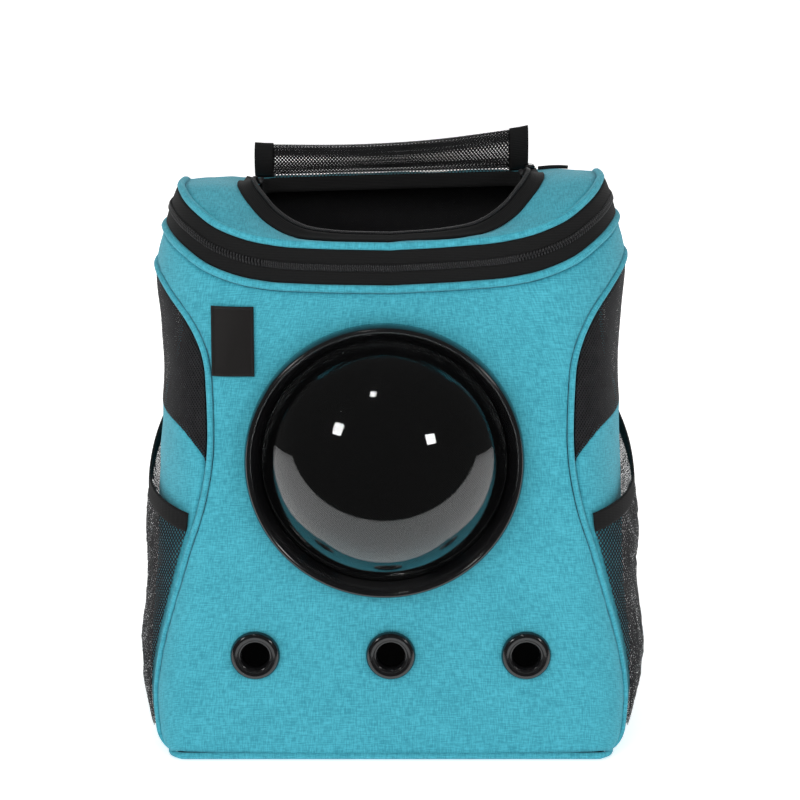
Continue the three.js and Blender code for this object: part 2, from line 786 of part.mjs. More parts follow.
// Sides: a cloth gusset with a net window above and a net pocket below.
for (const [side, sign] of SIDES) {
  const turned = (curve) => (sign < 0 ? mirrored(curve) : curve);
  const cloth = overlapOf(
    wall(
      SIDE_STATIONS.map((s) => s * sign),
      SIDE_ROWS,
      () => 0,
    ),
    sideCutter(besideSeam, sign),
  );

  const count = 15;
  const upper = skinCurve(SEAM, SEAM_TIP, 15.9, count);
  const lower = skinCurve(WINDOW_EDGE, 0, 7, count);
  const hole = panel(turned(upper), turned(lower), 7, WALL + 2 * CUTTER, CUTTER);
  add("side_panel_" + side, cut(cloth, hole), CLOTH);

  const netUpper = trimmed(beside(upper, besideSeam + 3 * GAP));
  const netLower = trimmed(beside(lower, -3 * GAP));
  const net = panel(turned(netUpper), turned(netLower), 6, NET_THICK, -2 * GAP);
  add("window_net_" + side, net, BLACK_NET);

  // The pocket's net hangs below an elastic band, and is sewn down at its foot and both sides.
  const rows = 10;
  const pocketFront = beside(skinCurve(SEAM, 1, SEAM_POCKET, rows), besideSeam + 1);
  const pocketTop = climbTo(POCKET_REAR, POCKET_REAR_RISE * FRONT_HEIGHT);
  const pocketRear = pocketFront.map((_, i) => [
    POCKET_REAR,
    blend(POCKET_FOOT, pocketTop, i / (rows - 1)),
  ]);
  const clear = NET_THICK + 4 * GAP;
  const bulge = sign > 0 ? POCKET_BULGE_RIGHT : POCKET_BULGE_LEFT;
  const belly = (u, t) =>
    clear +
    bulge * read(POCKET_FOLDS, t).out * Math.sin(Math.PI * u) ** 0.7 +
    POCKET_OPEN * ease((t - 0.75) / 0.25) * Math.sin(Math.PI * u) ** 2 * u;
  const pocket = panel(turned(pocketFront), turned(pocketRear), 8, NET_THICK, belly);
  add("pocket_net_" + side, pocket, BLACK_NET);
  const bandRows = [0, 1];
  const bandFront = bandRows.map((t) => [
    pocketFront.at(-1)[0] - 0.012 * t,
    pocketFront.at(-1)[1] + GAP + t * POCKET_BAND,
  ]);
  const bandRear = bandRows.map((t) => [
    POCKET_REAR,
    pocketRear.at(-1)[1] + GAP + t * POCKET_BAND,
  ]);
  const mouth = (u) => belly(u, 1) + POCKET_BAND_THICK - NET_THICK;
  const band = panel(turned(bandFront), turned(bandRear), 8, POCKET_BAND_THICK, mouth);
  add("pocket_band_" + side, band, BLACK_CLOTH);
}

// Piping round the front panel: up both seams and along the floor.
const footStations = acrossFront.filter((s) => Math.abs(s) < 1.5);
const frontPiping = [
  ...mirrored(seam).reverse(),
  ...footStations.map((s) => [s, climbTo(s, PIPING + GAP)]),
  ...seam,
];
add("piping_front", piping(frontPiping), CLOTH);

// Zip round the top: two woven tapes with the chain between, and piping below and above.
const around = (climb) => acrossFront.map((s) => [s, wallClimb(s) + climb]);
const strip = (foot, height, thick, lift) =>
  panel(around(foot), around(foot + height), 2, thick, lift);
add("piping_zip", piping(around(PIPING + GAP)), CLOTH);
let foot = TRIM_STEP;
add("zip_tape_lower", strip(foot, TAPE_LOWER, TAPE_THICK, 0), BLACK_CLOTH);
foot += TAPE_LOWER + GAP;
add("zip_teeth", strip(foot, TEETH_BAND, TEETH_THICK, TEETH_PROUD), BLACK_PLASTIC);
foot += TEETH_BAND + GAP;
add("zip_tape_upper", strip(foot, TAPE_UPPER, TAPE_THICK, 0), BLACK_CLOTH);
add("piping_lid", piping(around(LID_EDGE + PIPING), LID_PIPING_SUNK), CLOTH);

// Lid: a crowned panel with a round-fronted mouth.
const lidRear = BACK + BACK_PROUD - BACK_THICK - GAP;
const lidOutline = (() => {
  const points = around(LID_EDGE + PIPING).map(([s, c]) => {
    const p = skin(s, c, -LID_PIPING_SUNK);
    const { nx, ny } = plan(s, FRONT_HEIGHT);
    p.x -= nx * (PIPING + GAP);
    p.y = Math.min(p.y - ny * (PIPING + GAP), lidRear);
    return p;
  });
  const rear = Array.from({ length: 9 }, (_, i) =>
    points.at(-1).clone().lerp(points[0], (i + 1) / 10),
  );
  return [...points, ...rear];
})();
const mouthShape = (grow) => {
  const [half, front, rear] = [MOUTH_HALF + grow, MOUTH_FRONT - grow, MOUTH_REAR + grow];
  const [rf, rr] = [MOUTH_FRONT_RADIUS + grow, MOUTH_REAR_RADIUS + grow];
  const shape = new THREE.Shape();
  shape.moveTo(0, front);
  shape.lineTo(half - rf, front);
  shape.absarc(half - rf, front + rf, rf, -Math.PI / 2, 0, false);
  shape.lineTo(half, rear - rr);
  shape.absarc(half - rr, rear - rr, rr, 0, Math.PI / 2, false);
  shape.lineTo(-half + rr, rear);
  shape.absarc(-half + rr, rear - rr, rr, Math.PI / 2, Math.PI, false);
  shape.lineTo(-half, front + rf);
  shape.absarc(-half + rf, front + rf, rf, Math.PI, 1.5 * Math.PI, false);
  shape.closePath();
  return shape.getPoints(10);
};
const mouth = mouthShape(0);
const mouthMiddle = new THREE.Vector2(0, (MOUTH_FRONT + MOUTH_REAR) / 2);

// Where a ray from the mouth's middle meets a closed outline: how far, and at what height.
function rayHit(points, direction) {
  let best = { far: 0, z: 0 };
  points.forEach((a, i) => {
    const b = points[(i + 1) % points.length];
    const edge = new THREE.Vector2(b.x - a.x, b.y - a.y);
    const toA = new THREE.Vector2(a.x, a.y).sub(mouthMiddle);
    const bottom = direction.cross(edge);
    if (Math.abs(bottom) < 1e-9) return;
    const far = toA.cross(edge) / bottom;
    const along = toA.cross(direction) / bottom;
    if (far > best.far && along > -1e-6 && along < 1 + 1e-6)
      best = { far, z: blend(a.z ?? 0, b.z ?? 0, along) };
  });
  return best;
}

// A point on the lid's upper face, which falls or rises from its edge to its mouth with a slight crown.
function onLid(x, y, lift = 0) {
  const way = new THREE.Vector2(x, y).sub(mouthMiddle);
  const direction = way.clone().normalize();
  const edge = rayHit(lidOutline, direction);
  const t = (edge.far - way.length()) / (edge.far - rayHit(mouth, direction).far);
  const crown = LID_CROWN * Math.max(4 * t * (1 - t), 0);
  const slope = blend(-LID_DIP, LID_LIFT, ease((y - LIFT_START) / (MOUTH_REAR - LIFT_START)));
  return new THREE.Vector3(x, y, edge.z + slope * t + crown + lift);
}
const lidGrid = (lift) =>
  [0, 0.4, 1].map((t) =>
    lidOutline.map((p) => {
      const direction = new THREE.Vector2(p.x, p.y).sub(mouthMiddle).normalize();
      const far = blend(rayHit(lidOutline, direction).far, rayHit(mouth, direction).far, t);
      const q = mouthMiddle.clone().addScaledVector(direction, far);
      return onLid(q.x, q.y, lift);
    }),
  );
add("lid_panel", shell(lidGrid(0), lidGrid(-LID_THICK), true), CLOTH);

// Edging: half a zip round the mouth, flat on the lid at the sides and curled up at the front.
const EDGING_END = MOUTH_REAR - EDGING_SHORT;
const edgingPath = (grow) => {
  const [half, front, r] = [MOUTH_HALF + grow, MOUTH_FRONT - grow, MOUTH_FRONT_RADIUS + grow];
  const corner = (side) =>
    Array.from({ length: 9 }, (_, i) => {
      const turn = ((Math.PI / 2) * i) / 8;
      return [side * (half - r + r * Math.cos(turn)), front + r * (1 - Math.sin(turn))];
    });
  const straight = (side) =>
    [0, 0.15, 0.3, 0.5, 0.75].map((t) => [side * half, blend(EDGING_END, front + r, t)]);
  return [
    ...straight(-1),
    ...corner(-1),
    [0, front],
    ...corner(1).reverse(),
    ...straight(1).reverse(),
  ];
};
const edging = () => {
  const rows = [EDGING_WIDTH, 0].map(edgingPath);
  const curl = (y, row) =>
    row * EDGING_LIFT * ease((MOUTH_REAR - y) / (MOUTH_REAR - MOUTH_FRONT));
  const layer = (depth) =>
    rows.map((row, i) =>
      row.map(([x, y]) => onLid(x, y, GAP + EDGING_THICK + curl(y, i) - depth)),
    );
  return shell(layer(0), layer(EDGING_THICK));
};
add("mouth_edging", edging(), BLACK_CLOTH);

// Rolled flap: the net that closes the mouth, rolled up at the mouth's rear edge.
const rollSteps = 20;
function rollSection(x, thick, grow = 0) {
  const high = read(ROLL_ENDS, (x + ROLL_HALF) / (2 * ROLL_HALF)).high * ROLL_HEIGHT;
  const y = MOUTH_REAR + ROLL_BEHIND;
  const bottom = onLid(x, y).z + GAP;
  const face = (inset) =>
    Array.from({ length: rollSteps + 1 }, (_, i) => {
      const turns = (ROLL_TURNS * i) / rollSteps;
      const angle = 2 * Math.PI * turns - Math.PI / 2;
      const wide = ROLL_DEPTH / 2 - ROLL_NARROWS * turns - inset;
      const tall = high / 2 - ROLL_LOWERS * turns - inset;
      return new THREE.Vector3(
        x,
        y + wide * Math.cos(angle),
        bottom + high / 2 + tall * Math.sin(angle),
      );
    });
  return [...face(-grow), ...face(thick + grow).reverse()];
}
const rollBetween = (from, to, count, grow) =>
  loft(
    Array.from({ length: count }, (_, i) =>
      rollSection(blend(from, to, i / (count - 1)), NET_THICK, grow),
    ),
  );
const netEnd = ROLL_HALF - ROLL_TAPE;
add("flap_net", rollBetween(-netEnd, netEnd, 5, 0), BLACK_NET);
add("flap_tape_right", rollBetween(netEnd + GAP, ROLL_HALF, 2, 0.2), BLACK_CLOTH);
add("flap_tape_left", rollBetween(-ROLL_HALF, -netEnd - GAP, 2, 0.2), BLACK_CLOTH);

// The flap's sewn edge hangs in front of the mouth's rear edge.
const hemPoints = [-1, -0.6, -0.2, 0.2, 0.6, 1].map((t) =>
  onLid(t * HEM_HALF, MOUTH_REAR - 2 * GAP - HEM_THICK / 2, -HEM_HEIGHT / 2),
);
const upwards = new THREE.Vector3(0, 0, 1);
add("flap_hem", ribbon(hemPoints, upwards, HEM_HEIGHT, HEM_THICK), BLACK_CLOTH);

// Base: a stiff board, clear of the piping at the front and back and of the gussets at the sides.
const baseOutline = acrossFront.map((station) => {
  const p = plan(station, 0);
  const pipe = onSkin(station, climbTo(station, PIPING + GAP));
  const pipeInset = Math.hypot(pipe.x - p.x, pipe.y - p.y);
  const behindPiping = pipeInset + PIPING + PIPING_SUNK + GAP;
  const behindGusset = footRadius(station) + 5 * GAP;
  const inset = blend(behindPiping, behindGusset, ease((Math.abs(station) - 1.1) / 0.3));
  const rear = BACK + BACK_PROUD - BACK_THICK - GAP;
  return new THREE.Vector2(p.x - p.nx * inset, Math.min(p.y - p.ny * inset, rear));
});
add(
  "base_board",
  new THREE.ExtrudeGeometry(new THREE.Shape(baseOutline), {
    depth: BASE_THICK,
    bevelEnabled: false,
  }),
  CLOTH,
);

// Back: a padded slab.
const backHalf = BACK_FLAT - 2 * GAP;
const backTop = wallTop(4) + LID_EDGE + PIPING;
const backShape = (() => {
  const [half, low, high, r] = [backHalf, GAP, backTop, BACK_CORNER];
  const shape = new THREE.Shape();
  shape.moveTo(half - r, low);
  shape.absarc(half - r, low + r, r, -Math.PI / 2, 0, false);
  shape.absarc(half - r, high - r, r, 0, Math.PI / 2, false);
  shape.absarc(-half + r, high - r, r, Math.PI / 2, Math.PI, false);
  shape.absarc(-half + r, low + r, r, Math.PI, 1.5 * Math.PI, false);
  shape.closePath();
  return shape;
})();
add(
  "back_panel",
  new THREE.ExtrudeGeometry(backShape, {
    depth: BACK_THICK,
    bevelEnabled: false,
    curveSegments: 3,
  })
    .rotateX(Math.PI / 2)
    .translate(0, BACK + BACK_PROUD, 0),
  BLACK_CLOTH,
);

// Shoulder straps, each a padded band sewn to the back with webbing from its lower end, and a grab handle.
const backFace = BACK + BACK_PROUD + GAP;
const handleHeight = backTop - HANDLE_BELOW_TOP - HANDLE_WIDTH / 2;
const strapTop = handleHeight - HANDLE_WIDTH / 2 - STRAP_BELOW_HANDLE;
const strapPoint = (sign, row, thick) =>
  new THREE.Vector3(
    sign * row.across * STRAP_ACROSS,
    backFace + thick / 2 + row.out * STRAP_OUT,
    row.up * strapTop,
  );
const sideways = new THREE.Vector3(1, 0, 0);
for (const [side, sign] of SIDES) {
  const rows = Array.from({ length: 11 }, (_, i) => read(STRAP, i * 0.6));
  const pad = rows.map((row) => strapPoint(sign, row, STRAP_THICK));
  const wide = (i) => rows[i].wide * STRAP_WIDTH;
  add("shoulder_strap_" + side, ribbon(pad, sideways, wide, STRAP_THICK), BLACK_CLOTH);
  const tail = Array.from({ length: 7 }, (_, i) => read(WEBBING, i * 0.5));
  const tape = tail.map((row) => strapPoint(sign, row, WEBBING_THICK));
  const end = pad.at(-1).clone();
  const way = tape[1].clone().sub(end).normalize();
  tape[0] = end.addScaledVector(way, WEBBING_THICK);
  add("strap_webbing_" + side, ribbon(tape, sideways, WEBBING_WIDTH, WEBBING_THICK), BLACK_CLOTH);
}
const handlePoints = Array.from({ length: 13 }, (_, i) => {
  const at = blend(-1, 1, i / 12);
  const out = read(HANDLE, at).out * HANDLE_OUT;
  return new THREE.Vector3(at * HANDLE_HALF, backFace + HANDLE_THICK / 2 + out, handleHeight);
});
add("grab_handle", ribbon(handlePoints, upwards, HANDLE_WIDTH, HANDLE_THICK), BLACK_CLOTH);

// Slider at the right end of the mouth's zip, with a cord pull that lies on the lid.
const sliderAcross = MOUTH_HALF + EDGING_WIDTH / 2;
const sliderLift = EDGING_THICK + 6 * GAP + SLIDER_THICK / 2;
const sliderPoints = [0, 0.5, 1].map((t) =>
  onLid(sliderAcross, EDGING_END - t * SLIDER_LENGTH, sliderLift),
);
add("zip_slider", ribbon(sliderPoints, sideways, SLIDER_WIDTH, SLIDER_THICK), BLACK_PLASTIC);
const pullStart = MOUTH_HALF + EDGING_WIDTH + PULL_RADIUS;
const pullPoints = [0, 0.33, 0.67, 1].map((t) =>
  onLid(pullStart + t * PULL_LENGTH, EDGING_END - SLIDER_LENGTH / 2 + 4 * t, PULL_RADIUS + GAP),
);
add(
  "zip_pull",
  cord(
    pullPoints,
    pullPoints.map(() => upwards),
    PULL_RADIUS,
    6,
  ),
  BLACK_CLOTH,
);

bag.name = "bubble_pet_carrier_backpack";
export default bag;
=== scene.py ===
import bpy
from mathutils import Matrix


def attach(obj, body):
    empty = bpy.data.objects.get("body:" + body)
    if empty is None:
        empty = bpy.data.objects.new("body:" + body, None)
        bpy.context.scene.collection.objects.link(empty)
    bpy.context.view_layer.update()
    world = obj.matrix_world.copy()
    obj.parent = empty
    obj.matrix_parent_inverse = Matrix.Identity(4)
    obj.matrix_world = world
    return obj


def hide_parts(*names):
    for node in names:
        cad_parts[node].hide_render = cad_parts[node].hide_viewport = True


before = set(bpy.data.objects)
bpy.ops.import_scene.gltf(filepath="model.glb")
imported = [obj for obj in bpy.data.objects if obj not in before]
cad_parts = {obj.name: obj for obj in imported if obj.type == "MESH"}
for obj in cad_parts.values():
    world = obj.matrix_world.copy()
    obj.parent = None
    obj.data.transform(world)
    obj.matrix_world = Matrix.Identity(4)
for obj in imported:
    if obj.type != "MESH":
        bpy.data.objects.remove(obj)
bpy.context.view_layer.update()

import math

import bmesh
import bpy
from mathutils import Matrix, Vector, noise

# The stand: a pale studio floor and backdrop with soft light, and a camera a little above the bag,
# straight in front of it, at the photograph's angle.
MM = 0.001
PALE = (0.93, 0.93, 0.93)

camera_data = bpy.data.cameras.new("camera")
camera_data.lens = 106.83
camera_data.sensor_width = 36
camera = bpy.data.objects.new("camera", camera_data)
camera.location = (0.007, -1.84, 0.67)
camera.rotation_euler = (math.radians(90 - 12.887), 0, 0)
bpy.context.scene.collection.objects.link(camera)
bpy.context.scene.camera = camera

world = bpy.data.worlds.new("studio")
world.use_nodes = True
world.node_tree.nodes["Background"].inputs["Color"].default_value = (1, 1, 1, 1)
world.node_tree.nodes["Background"].inputs["Strength"].default_value = 0.07
bpy.context.scene.world = world
bpy.context.scene.view_settings.view_transform = "Standard"


def soft_light(name, place, aim, size, power, mirrored=False):
    """An area light. Glossy surfaces mirror it only if asked."""
    data = bpy.data.lights.new(name, "AREA")
    data.shape = "RECTANGLE"
    data.size, data.size_y = size
    data.energy = power
    light = bpy.data.objects.new(name, data)
    light.location = place
    light.rotation_euler = (Vector(aim) - Vector(place)).to_track_quat("-Z", "Y").to_euler()
    light.visible_glossy = light.visible_transmission = mirrored
    bpy.context.scene.collection.objects.link(light)


soft_light("overhead", (0, -0.4, 2.5), (0, 0, 0.2), (2.6, 2.2), 18)
soft_light("key", (-0.4, -3.0, 1.7), (0, 0, 0.22), (2.4, 1.6), 38)
soft_light("side_left", (-2.6, -0.6, 1.0), (0, 0, 0.2), (1.6, 1.4), 9)
soft_light("side_right", (2.6, -0.6, 1.0), (0, 0, 0.2), (1.6, 1.4), 8)
soft_light("rear_fill", (0.3, 2.2, 1.2), (0, 0, 0.2), (1.6, 1.2), 14)
soft_light("window_left", (-1.317, -1.43, 1.18), (0, -0.15, 0.27), (0.3, 0.34), 6, True)
soft_light("window_right", (1.331, -1.561, 0.925), (0, -0.15, 0.27), (0.3, 0.3), 6, True)
soft_light("window_high", (-0.32, -1.046, 2.074), (0, -0.15, 0.3), (0.16, 0.16), 1.6, True)


# Shader maths: a Field is a value or colour that changes over a surface, and sums of Fields add nodes.
class Field:
    def __init__(self, tree, socket):
        self.tree, self.socket = tree, socket

    def maths(self, operation, *others):
        return node(self.tree, "Math", {"operation": operation}, self, *others)

    def __add__(self, other):
        return self.maths("ADD", other)

    def __sub__(self, other):
        return self.maths("SUBTRACT", other)

    def __mul__(self, other):
        return self.maths("MULTIPLY", other)

    def __rsub__(self, other):
        return node(self.tree, "Math", {"operation": "SUBTRACT"}, other, self)

    __radd__ = __add__
    __rmul__ = __mul__

    def limit(self, low, high, start=0.0, end=1.0):
        ranged = {"interpolation_type": "SMOOTHSTEP"}
        return node(self.tree, "MapRange", ranged, self, low, high, start, end)


def node(tree, kind, settings=None, *inputs, out=0, **named):
    """Adds a shader node. Its settings come first, then its sockets' values or links, in order or named."""
    made = tree.nodes.new("ShaderNode" + kind)
    for key, value in (settings or {}).items():
        setattr(made, key, value)
    sockets = [s for s in made.inputs if s.enabled]
    pairs = list(zip(sockets, inputs))
    pairs += [(made.inputs[key.replace("_", " ")], value) for key, value in named.items()]
    for socket, value in pairs:
        if isinstance(value, Field):
            tree.links.new(value.socket, socket)
        elif value is not None:
            socket.default_value = value
    outputs = [s for s in made.outputs if s.enabled]
    return Field(tree, outputs[out] if isinstance(out, int) else made.outputs[out])


def mixed(tree, share, first, second):
    """A colour that goes from the first to the second as share goes from 0 to 1."""
    return node(tree, "Mix", {"data_type": "RGBA"}, share, first, second)


def finish(name, colour, roughness, **constants):
    """A material with one Principled shader: returns it, its tree and its shader."""
    material = bpy.data.materials.new(name)
    material.use_nodes = True
    tree = material.node_tree
    shader = tree.nodes["Principled BSDF"]
    shader.inputs["Base Color"].default_value = (*colour, 1)
    shader.inputs["Roughness"].default_value = roughness
    for key, value in constants.items():
        shader.inputs[key.replace("_", " ")].default_value = value
    return material, tree, shader


def drive(tree, shader, **fields):
    """Links Fields to the shader's sockets."""
    for key, field in fields.items():
        tree.links.new(field.socket, shader.inputs[key.replace("_", " ")])


def relief(tree, height, depth, strength=1.0):
    """A bump of a depth in metres, from a height that goes from 0 to 1."""
    return node(tree, "Bump", None, Strength=strength, Distance=depth, Height=height, out="Normal")


# The floor is in two parts that look alike: glossy surfaces mirror only the rear one, which turns up
# into a backdrop.
FLOOR_SPLIT, BACKDROP = -0.37, 2.2
GLOW = {"Emission_Color": (1, 1, 1, 1), "Emission_Strength": 0.55}
paint, tree, shader = finish("pale_floor", PALE, 0.6, **GLOW)
mottle = node(tree, "TexNoise", None, node(tree, "TexCoord", None, out="Object"), 3.0)
drive(tree, shader, Roughness=mottle * 0.1 + 0.55)
for name, near, far in (("floor_front", -4.0, FLOOR_SPLIT), ("floor_rear", FLOOR_SPLIT, 6.0)):
    floor_mesh = bmesh.new()
    for vert in bmesh.ops.create_grid(floor_mesh, x_segments=4, y_segments=60, size=0.5)["verts"]:
        run = near + (vert.co.y + 0.5) * (far - near)
        turn = min(max(run - BACKDROP, 0), math.pi / 2)
        risen = max(run - BACKDROP - math.pi / 2, 0)
        vert.co = (vert.co.x * 9, min(run, BACKDROP) + math.sin(turn), 1 - math.cos(turn) + risen - 0.0005)
    floor_data = bpy.data.meshes.new(name)
    floor_mesh.to_mesh(floor_data)
    floor_mesh.free()
    floor_data.materials.append(paint)
    floor = bpy.data.objects.new(name, floor_data)
    floor.visible_glossy = floor.visible_transmission = name == "floor_rear"
    bpy.context.scene.collection.objects.link(floor)

# Front panel: one teal melange cloth wall over thin foam, sewn from the floor up both sides and then
# back under the zip, with round holes for the bubble and the three vents.
HALF_WIDTH = 178
DEPTH = 280
FRONT, BACK = -DEPTH / 2, DEPTH / 2
FRONT_HEIGHT = 360
SIDE_RISE = 37
REAR_RADIUS = 28
BACK_FLAT = 145
FACE_FOOT_RADIUS = 4
SIDE_FOOT_RADIUS = 28
TOP_TILT = 3.5
TILT_START = 300
WALL = 3
PIPING = 3
GAP = 0.3
TRIM_STEP = 2 * PIPING + 2 * GAP
BESIDE_SEAM = PIPING + 2 * GAP

# The plan at each height: share of the front's height, then half width, the front corner's width and
# the front corner's depth, as shares of the half width and the depth.
PLANS = [
    (0, 1.01, 0.13, 0.11),
    (0.15, 1.035, 0.17, 0.16),
    (0.4, 1.012, 0.24, 0.265),
    (0.6, 1, 0.27, 0.32),
    (0.8, 0.99, 0.3, 0.345),
    (0.92, 1, 0.385, 0.353),
    (1.02, 1.01, 0.465, 0.355),
    (1.1, 0.975, 0.475, 0.36),
    (1.16, 0.94, 0.47, 0.36),
    (1.22, 0.89, 0.46, 0.36),
]
# The wall's extra height round the bag: station, share of SIDE_RISE.
RISES = [
    (0, 0),
    (0.6, 0.06),
    (1, 0.16),
    (1.3, 0.42),
    (1.55, 0.74),
    (1.8, 0.97),
    (2, 1),
    (2.25, 0.93),
    (2.6, 0.74),
    (3, 0.48),
    (4, 0.38),
]
# The seam round the front panel: step, height as a share of the front's, station.
SEAM = [
    (0, 0.012, 1.6),
    (1, 0.06, 1.64),
    (2, 0.13, 1.64),
    (3, 0.23, 1.53),
    (4, 0.34, 1.39),
    (5, 0.45, 1.26),
    (6, 0.54, 1.14),
    (7, 0.62, 1.085),
    (8, 0.7, 1.075),
    (9, 0.79, 1.12),
    (10, 0.86, 1.2),
    (11, 0.93, 1.36),
    (12, 0.98, 1.54),
    (13, 1.02, 1.76),
    (14, 1.035, 2.05),
    (15, 1.015, 2.5),
    (16, 0.98, 3),
    (17, 0.968, 3.98),
]
BUBBLE_ACROSS, BUBBLE_HEIGHT = -4.5, 235
BUBBLE_HOLE = 95
VENT_ACROSS, VENT_HEIGHT = (-102, 0, 102), 84
VENT_HOLE = 13


def read(table, at):
    """The values of a table at a place between its rows, on a smooth curve through them."""
    last = len(table) - 1
    at = min(max(at, table[0][0]), table[last][0])
    k = 0
    while k < last - 1 and at > table[k + 1][0]:
        k += 1
    a, b = table[k], table[k + 1]
    before, after = table[max(k - 1, 0)], table[min(k + 2, last)]
    span = b[0] - a[0]
    t = (at - a[0]) / span
    values = []
    for i in range(1, len(a)):
        slope_a = (b[i] - before[i]) / (b[0] - before[0]) * span
        slope_b = (after[i] - a[i]) / (after[0] - a[0]) * span
        values.append(
            (2 * t**3 - 3 * t**2 + 1) * a[i]
            + (t**3 - 2 * t**2 + t) * slope_a
            + (3 * t**2 - 2 * t**3) * b[i]
            + (t**3 - t**2) * slope_b
        )
    return values


def blend(a, b, t):
    return a + (b - a) * t


def ease(t):
    t = min(max(t, 0), 1)
    return t * t * (3 - 2 * t)


def plan(station, height):
    """Where a station lies in the plan at a height, and the plan's outward direction there."""
    s, side = abs(station), math.copysign(1, station)
    wide, across, deep = read(PLANS, height / FRONT_HEIGHT)
    half, across, deep = wide * HALF_WIDTH, across * HALF_WIDTH, deep * DEPTH
    turn = (s % 1) * math.pi / 2

    def bend(a, b, nx, ny):
        length = math.hypot(nx / a, ny / b)
        return side * nx / a / length, ny / b / length

    if s <= 1:
        return side * (half - across) * s, FRONT, 0, -1
    if s < 2:
        x = side * (half - across + across * math.sin(turn))
        return x, FRONT + deep * (1 - math.cos(turn)), *bend(across, deep, math.sin(turn), -math.cos(turn))
    if s <= 3:
        return side * half, blend(FRONT + deep, BACK - REAR_RADIUS, s - 2), side, 0
    if s < 4:
        x = side * (BACK_FLAT + (half - BACK_FLAT) * math.cos(turn))
        y = BACK - REAR_RADIUS + REAR_RADIUS * math.sin(turn)
        return x, y, *bend(half - BACK_FLAT, REAR_RADIUS, math.cos(turn), math.sin(turn))
    return side * BACK_FLAT * (5 - s), BACK, 0, 1


def foot_radius(station):
    s = abs(station)
    return blend(FACE_FOOT_RADIUS, SIDE_FOOT_RADIUS, min(ease(s - 1), ease((3.5 - s) / 0.8)))


def climb_to(station, height):
    r = foot_radius(station)
    return r * math.acos(1 - height / r) if height < r else height - r + r * math.pi / 2


def wall_climb(station):
    """The length up the wall to its top."""
    return climb_to(station, FRONT_HEIGHT + SIDE_RISE * read(RISES, abs(station))[0])


def on_skin(station, climb):
    r = foot_radius(station)
    quarter = r * math.pi / 2
    turn = min(max(climb, 0), quarter) / r
    low = climb < quarter
    height = r * (1 - math.cos(turn)) if low else climb - quarter + r
    inset = r * (1 - math.sin(turn)) if low else 0
    x, y, nx, ny = plan(station, height)
    x, y = x - nx * inset, y - ny * inset
    lean = ease((height - TILT_START) / (FRONT_HEIGHT - TILT_START))
    return Vector((x, y, height + TOP_TILT * lean * x / HALF_WIDTH))


def frame_at(station, climb):
    """The skin's two directions and its outward normal."""
    across = (on_skin(station + 0.004, climb) - on_skin(station - 0.004, climb)) / 0.008
    low = max(climb - 0.4, 0)
    up = (on_skin(station, climb + 0.4) - on_skin(station, low)) / (climb + 0.4 - low)
    return across, up, across.cross(up).normalized()


def skin(station, climb, lift=0):
    return on_skin(station, climb) + frame_at(station, climb)[2] * lift


def curve_on_skin(table, start, end, count):
    """A list of (station, climb) along a table of (step, height, station)."""
    rows = [read(table, blend(start, end, i / (count - 1))) for i in range(count)]
    return [(station, climb_to(station, rise * FRONT_HEIGHT)) for rise, station in rows]


def beside(curve, distance):
    """The same curve moved sideways along the skin, towards higher stations if distance is positive."""
    moved = []
    for i, (station, climb) in enumerate(curve):
        way = on_skin(*curve[min(i + 1, len(curve) - 1)]) - on_skin(*curve[max(i - 1, 0)])
        across, up, normal = frame_at(station, climb)
        aside = way.normalized().cross(normal) * distance
        aa, au, uu = across.dot(across), across.dot(up), up.dot(up)
        ma, mu = aside.dot(across), aside.dot(up)
        scale = aa * uu - au * au
        moved.append((station + (ma * uu - mu * au) / scale, max(climb + (mu * aa - ma * au) / scale, 0)))
    return moved


def along(points, t):
    """The place at a share t of a list of points."""
    place = min(max(t, 0), 1) * (len(points) - 1)
    k = min(int(place), len(points) - 2)
    return tuple(blend(a, b, place - k) for a, b in zip(points[k], points[k + 1]))


ROUND_STEPS = [i / 20 for i in range(101)]
round_lengths = [0.0]
for a, b in zip(ROUND_STEPS, ROUND_STEPS[1:]):
    step = on_skin(b, 200) - on_skin(a, 200)
    round_lengths.append(round_lengths[-1] + step.length)


def round_length(station):
    """The length round the bag to a station, at half its height."""
    place = min(abs(station), 4.999) * 20
    k = int(place)
    return math.copysign(blend(round_lengths[k], round_lengths[k + 1], place - k), station)


def ripple(x, y, size, seed=0):
    """A smooth random height from about -1 to 1, in bumps about a size across."""
    return noise.noise(Vector((x / size, y / size, seed * 7.3)))


def lay_weave(faces, weave, flat):
    """Gives the faces their cloth's own coordinates, in metres. flat gives them for a vertex."""
    for face in faces:
        for loop in face.loops:
            loop[weave].uv = flat(loop.vert)


def skin_grid(mesh, cols, rows, place, side=1):
    """Adds a grid to a mesh. place gives a station, climb and lift for each share across and up it."""
    weave = mesh.loops.layers.uv.get("weave") or mesh.loops.layers.uv.new("weave")
    made = bmesh.ops.create_grid(mesh, x_segments=cols, y_segments=rows, size=0.5)["verts"]
    flat = {}
    for vert in made:
        station, climb, lift = place(vert.co.x + 0.5, vert.co.y + 0.5)
        flat[vert] = (round_length(station) * MM * side, climb * MM)
        vert.co = skin(station * side, climb, lift) * MM
    faces = {face for vert in made for face in vert.link_faces}
    lay_weave(faces, weave, flat.get)
    if side < 0:
        bmesh.ops.reverse_faces(mesh, faces=list(faces))
    return made


def piece(name, mesh, materials, nodes=(), thick=0, smooth=True):
    """Makes an object of a mesh, riding on the bag. thick gives it a wall inwards from its faces."""
    data = bpy.data.meshes.new(name)
    mesh.to_mesh(data)
    mesh.free()
    for material in materials:
        data.materials.append(material)
    made = bpy.data.objects.new(name, data)
    bpy.context.scene.collection.objects.link(made)
    for polygon in data.polygons:
        polygon.use_smooth = smooth
    if thick:
        wall = made.modifiers.new("thickness", "SOLIDIFY")
        wall.thickness = thick * MM
        wall.offset = -1
        wall.use_even_offset = False
        wall.material_offset = min(len(materials) - 1, 1)
    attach(made, "root")
    if nodes:
        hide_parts(*nodes)
    return made


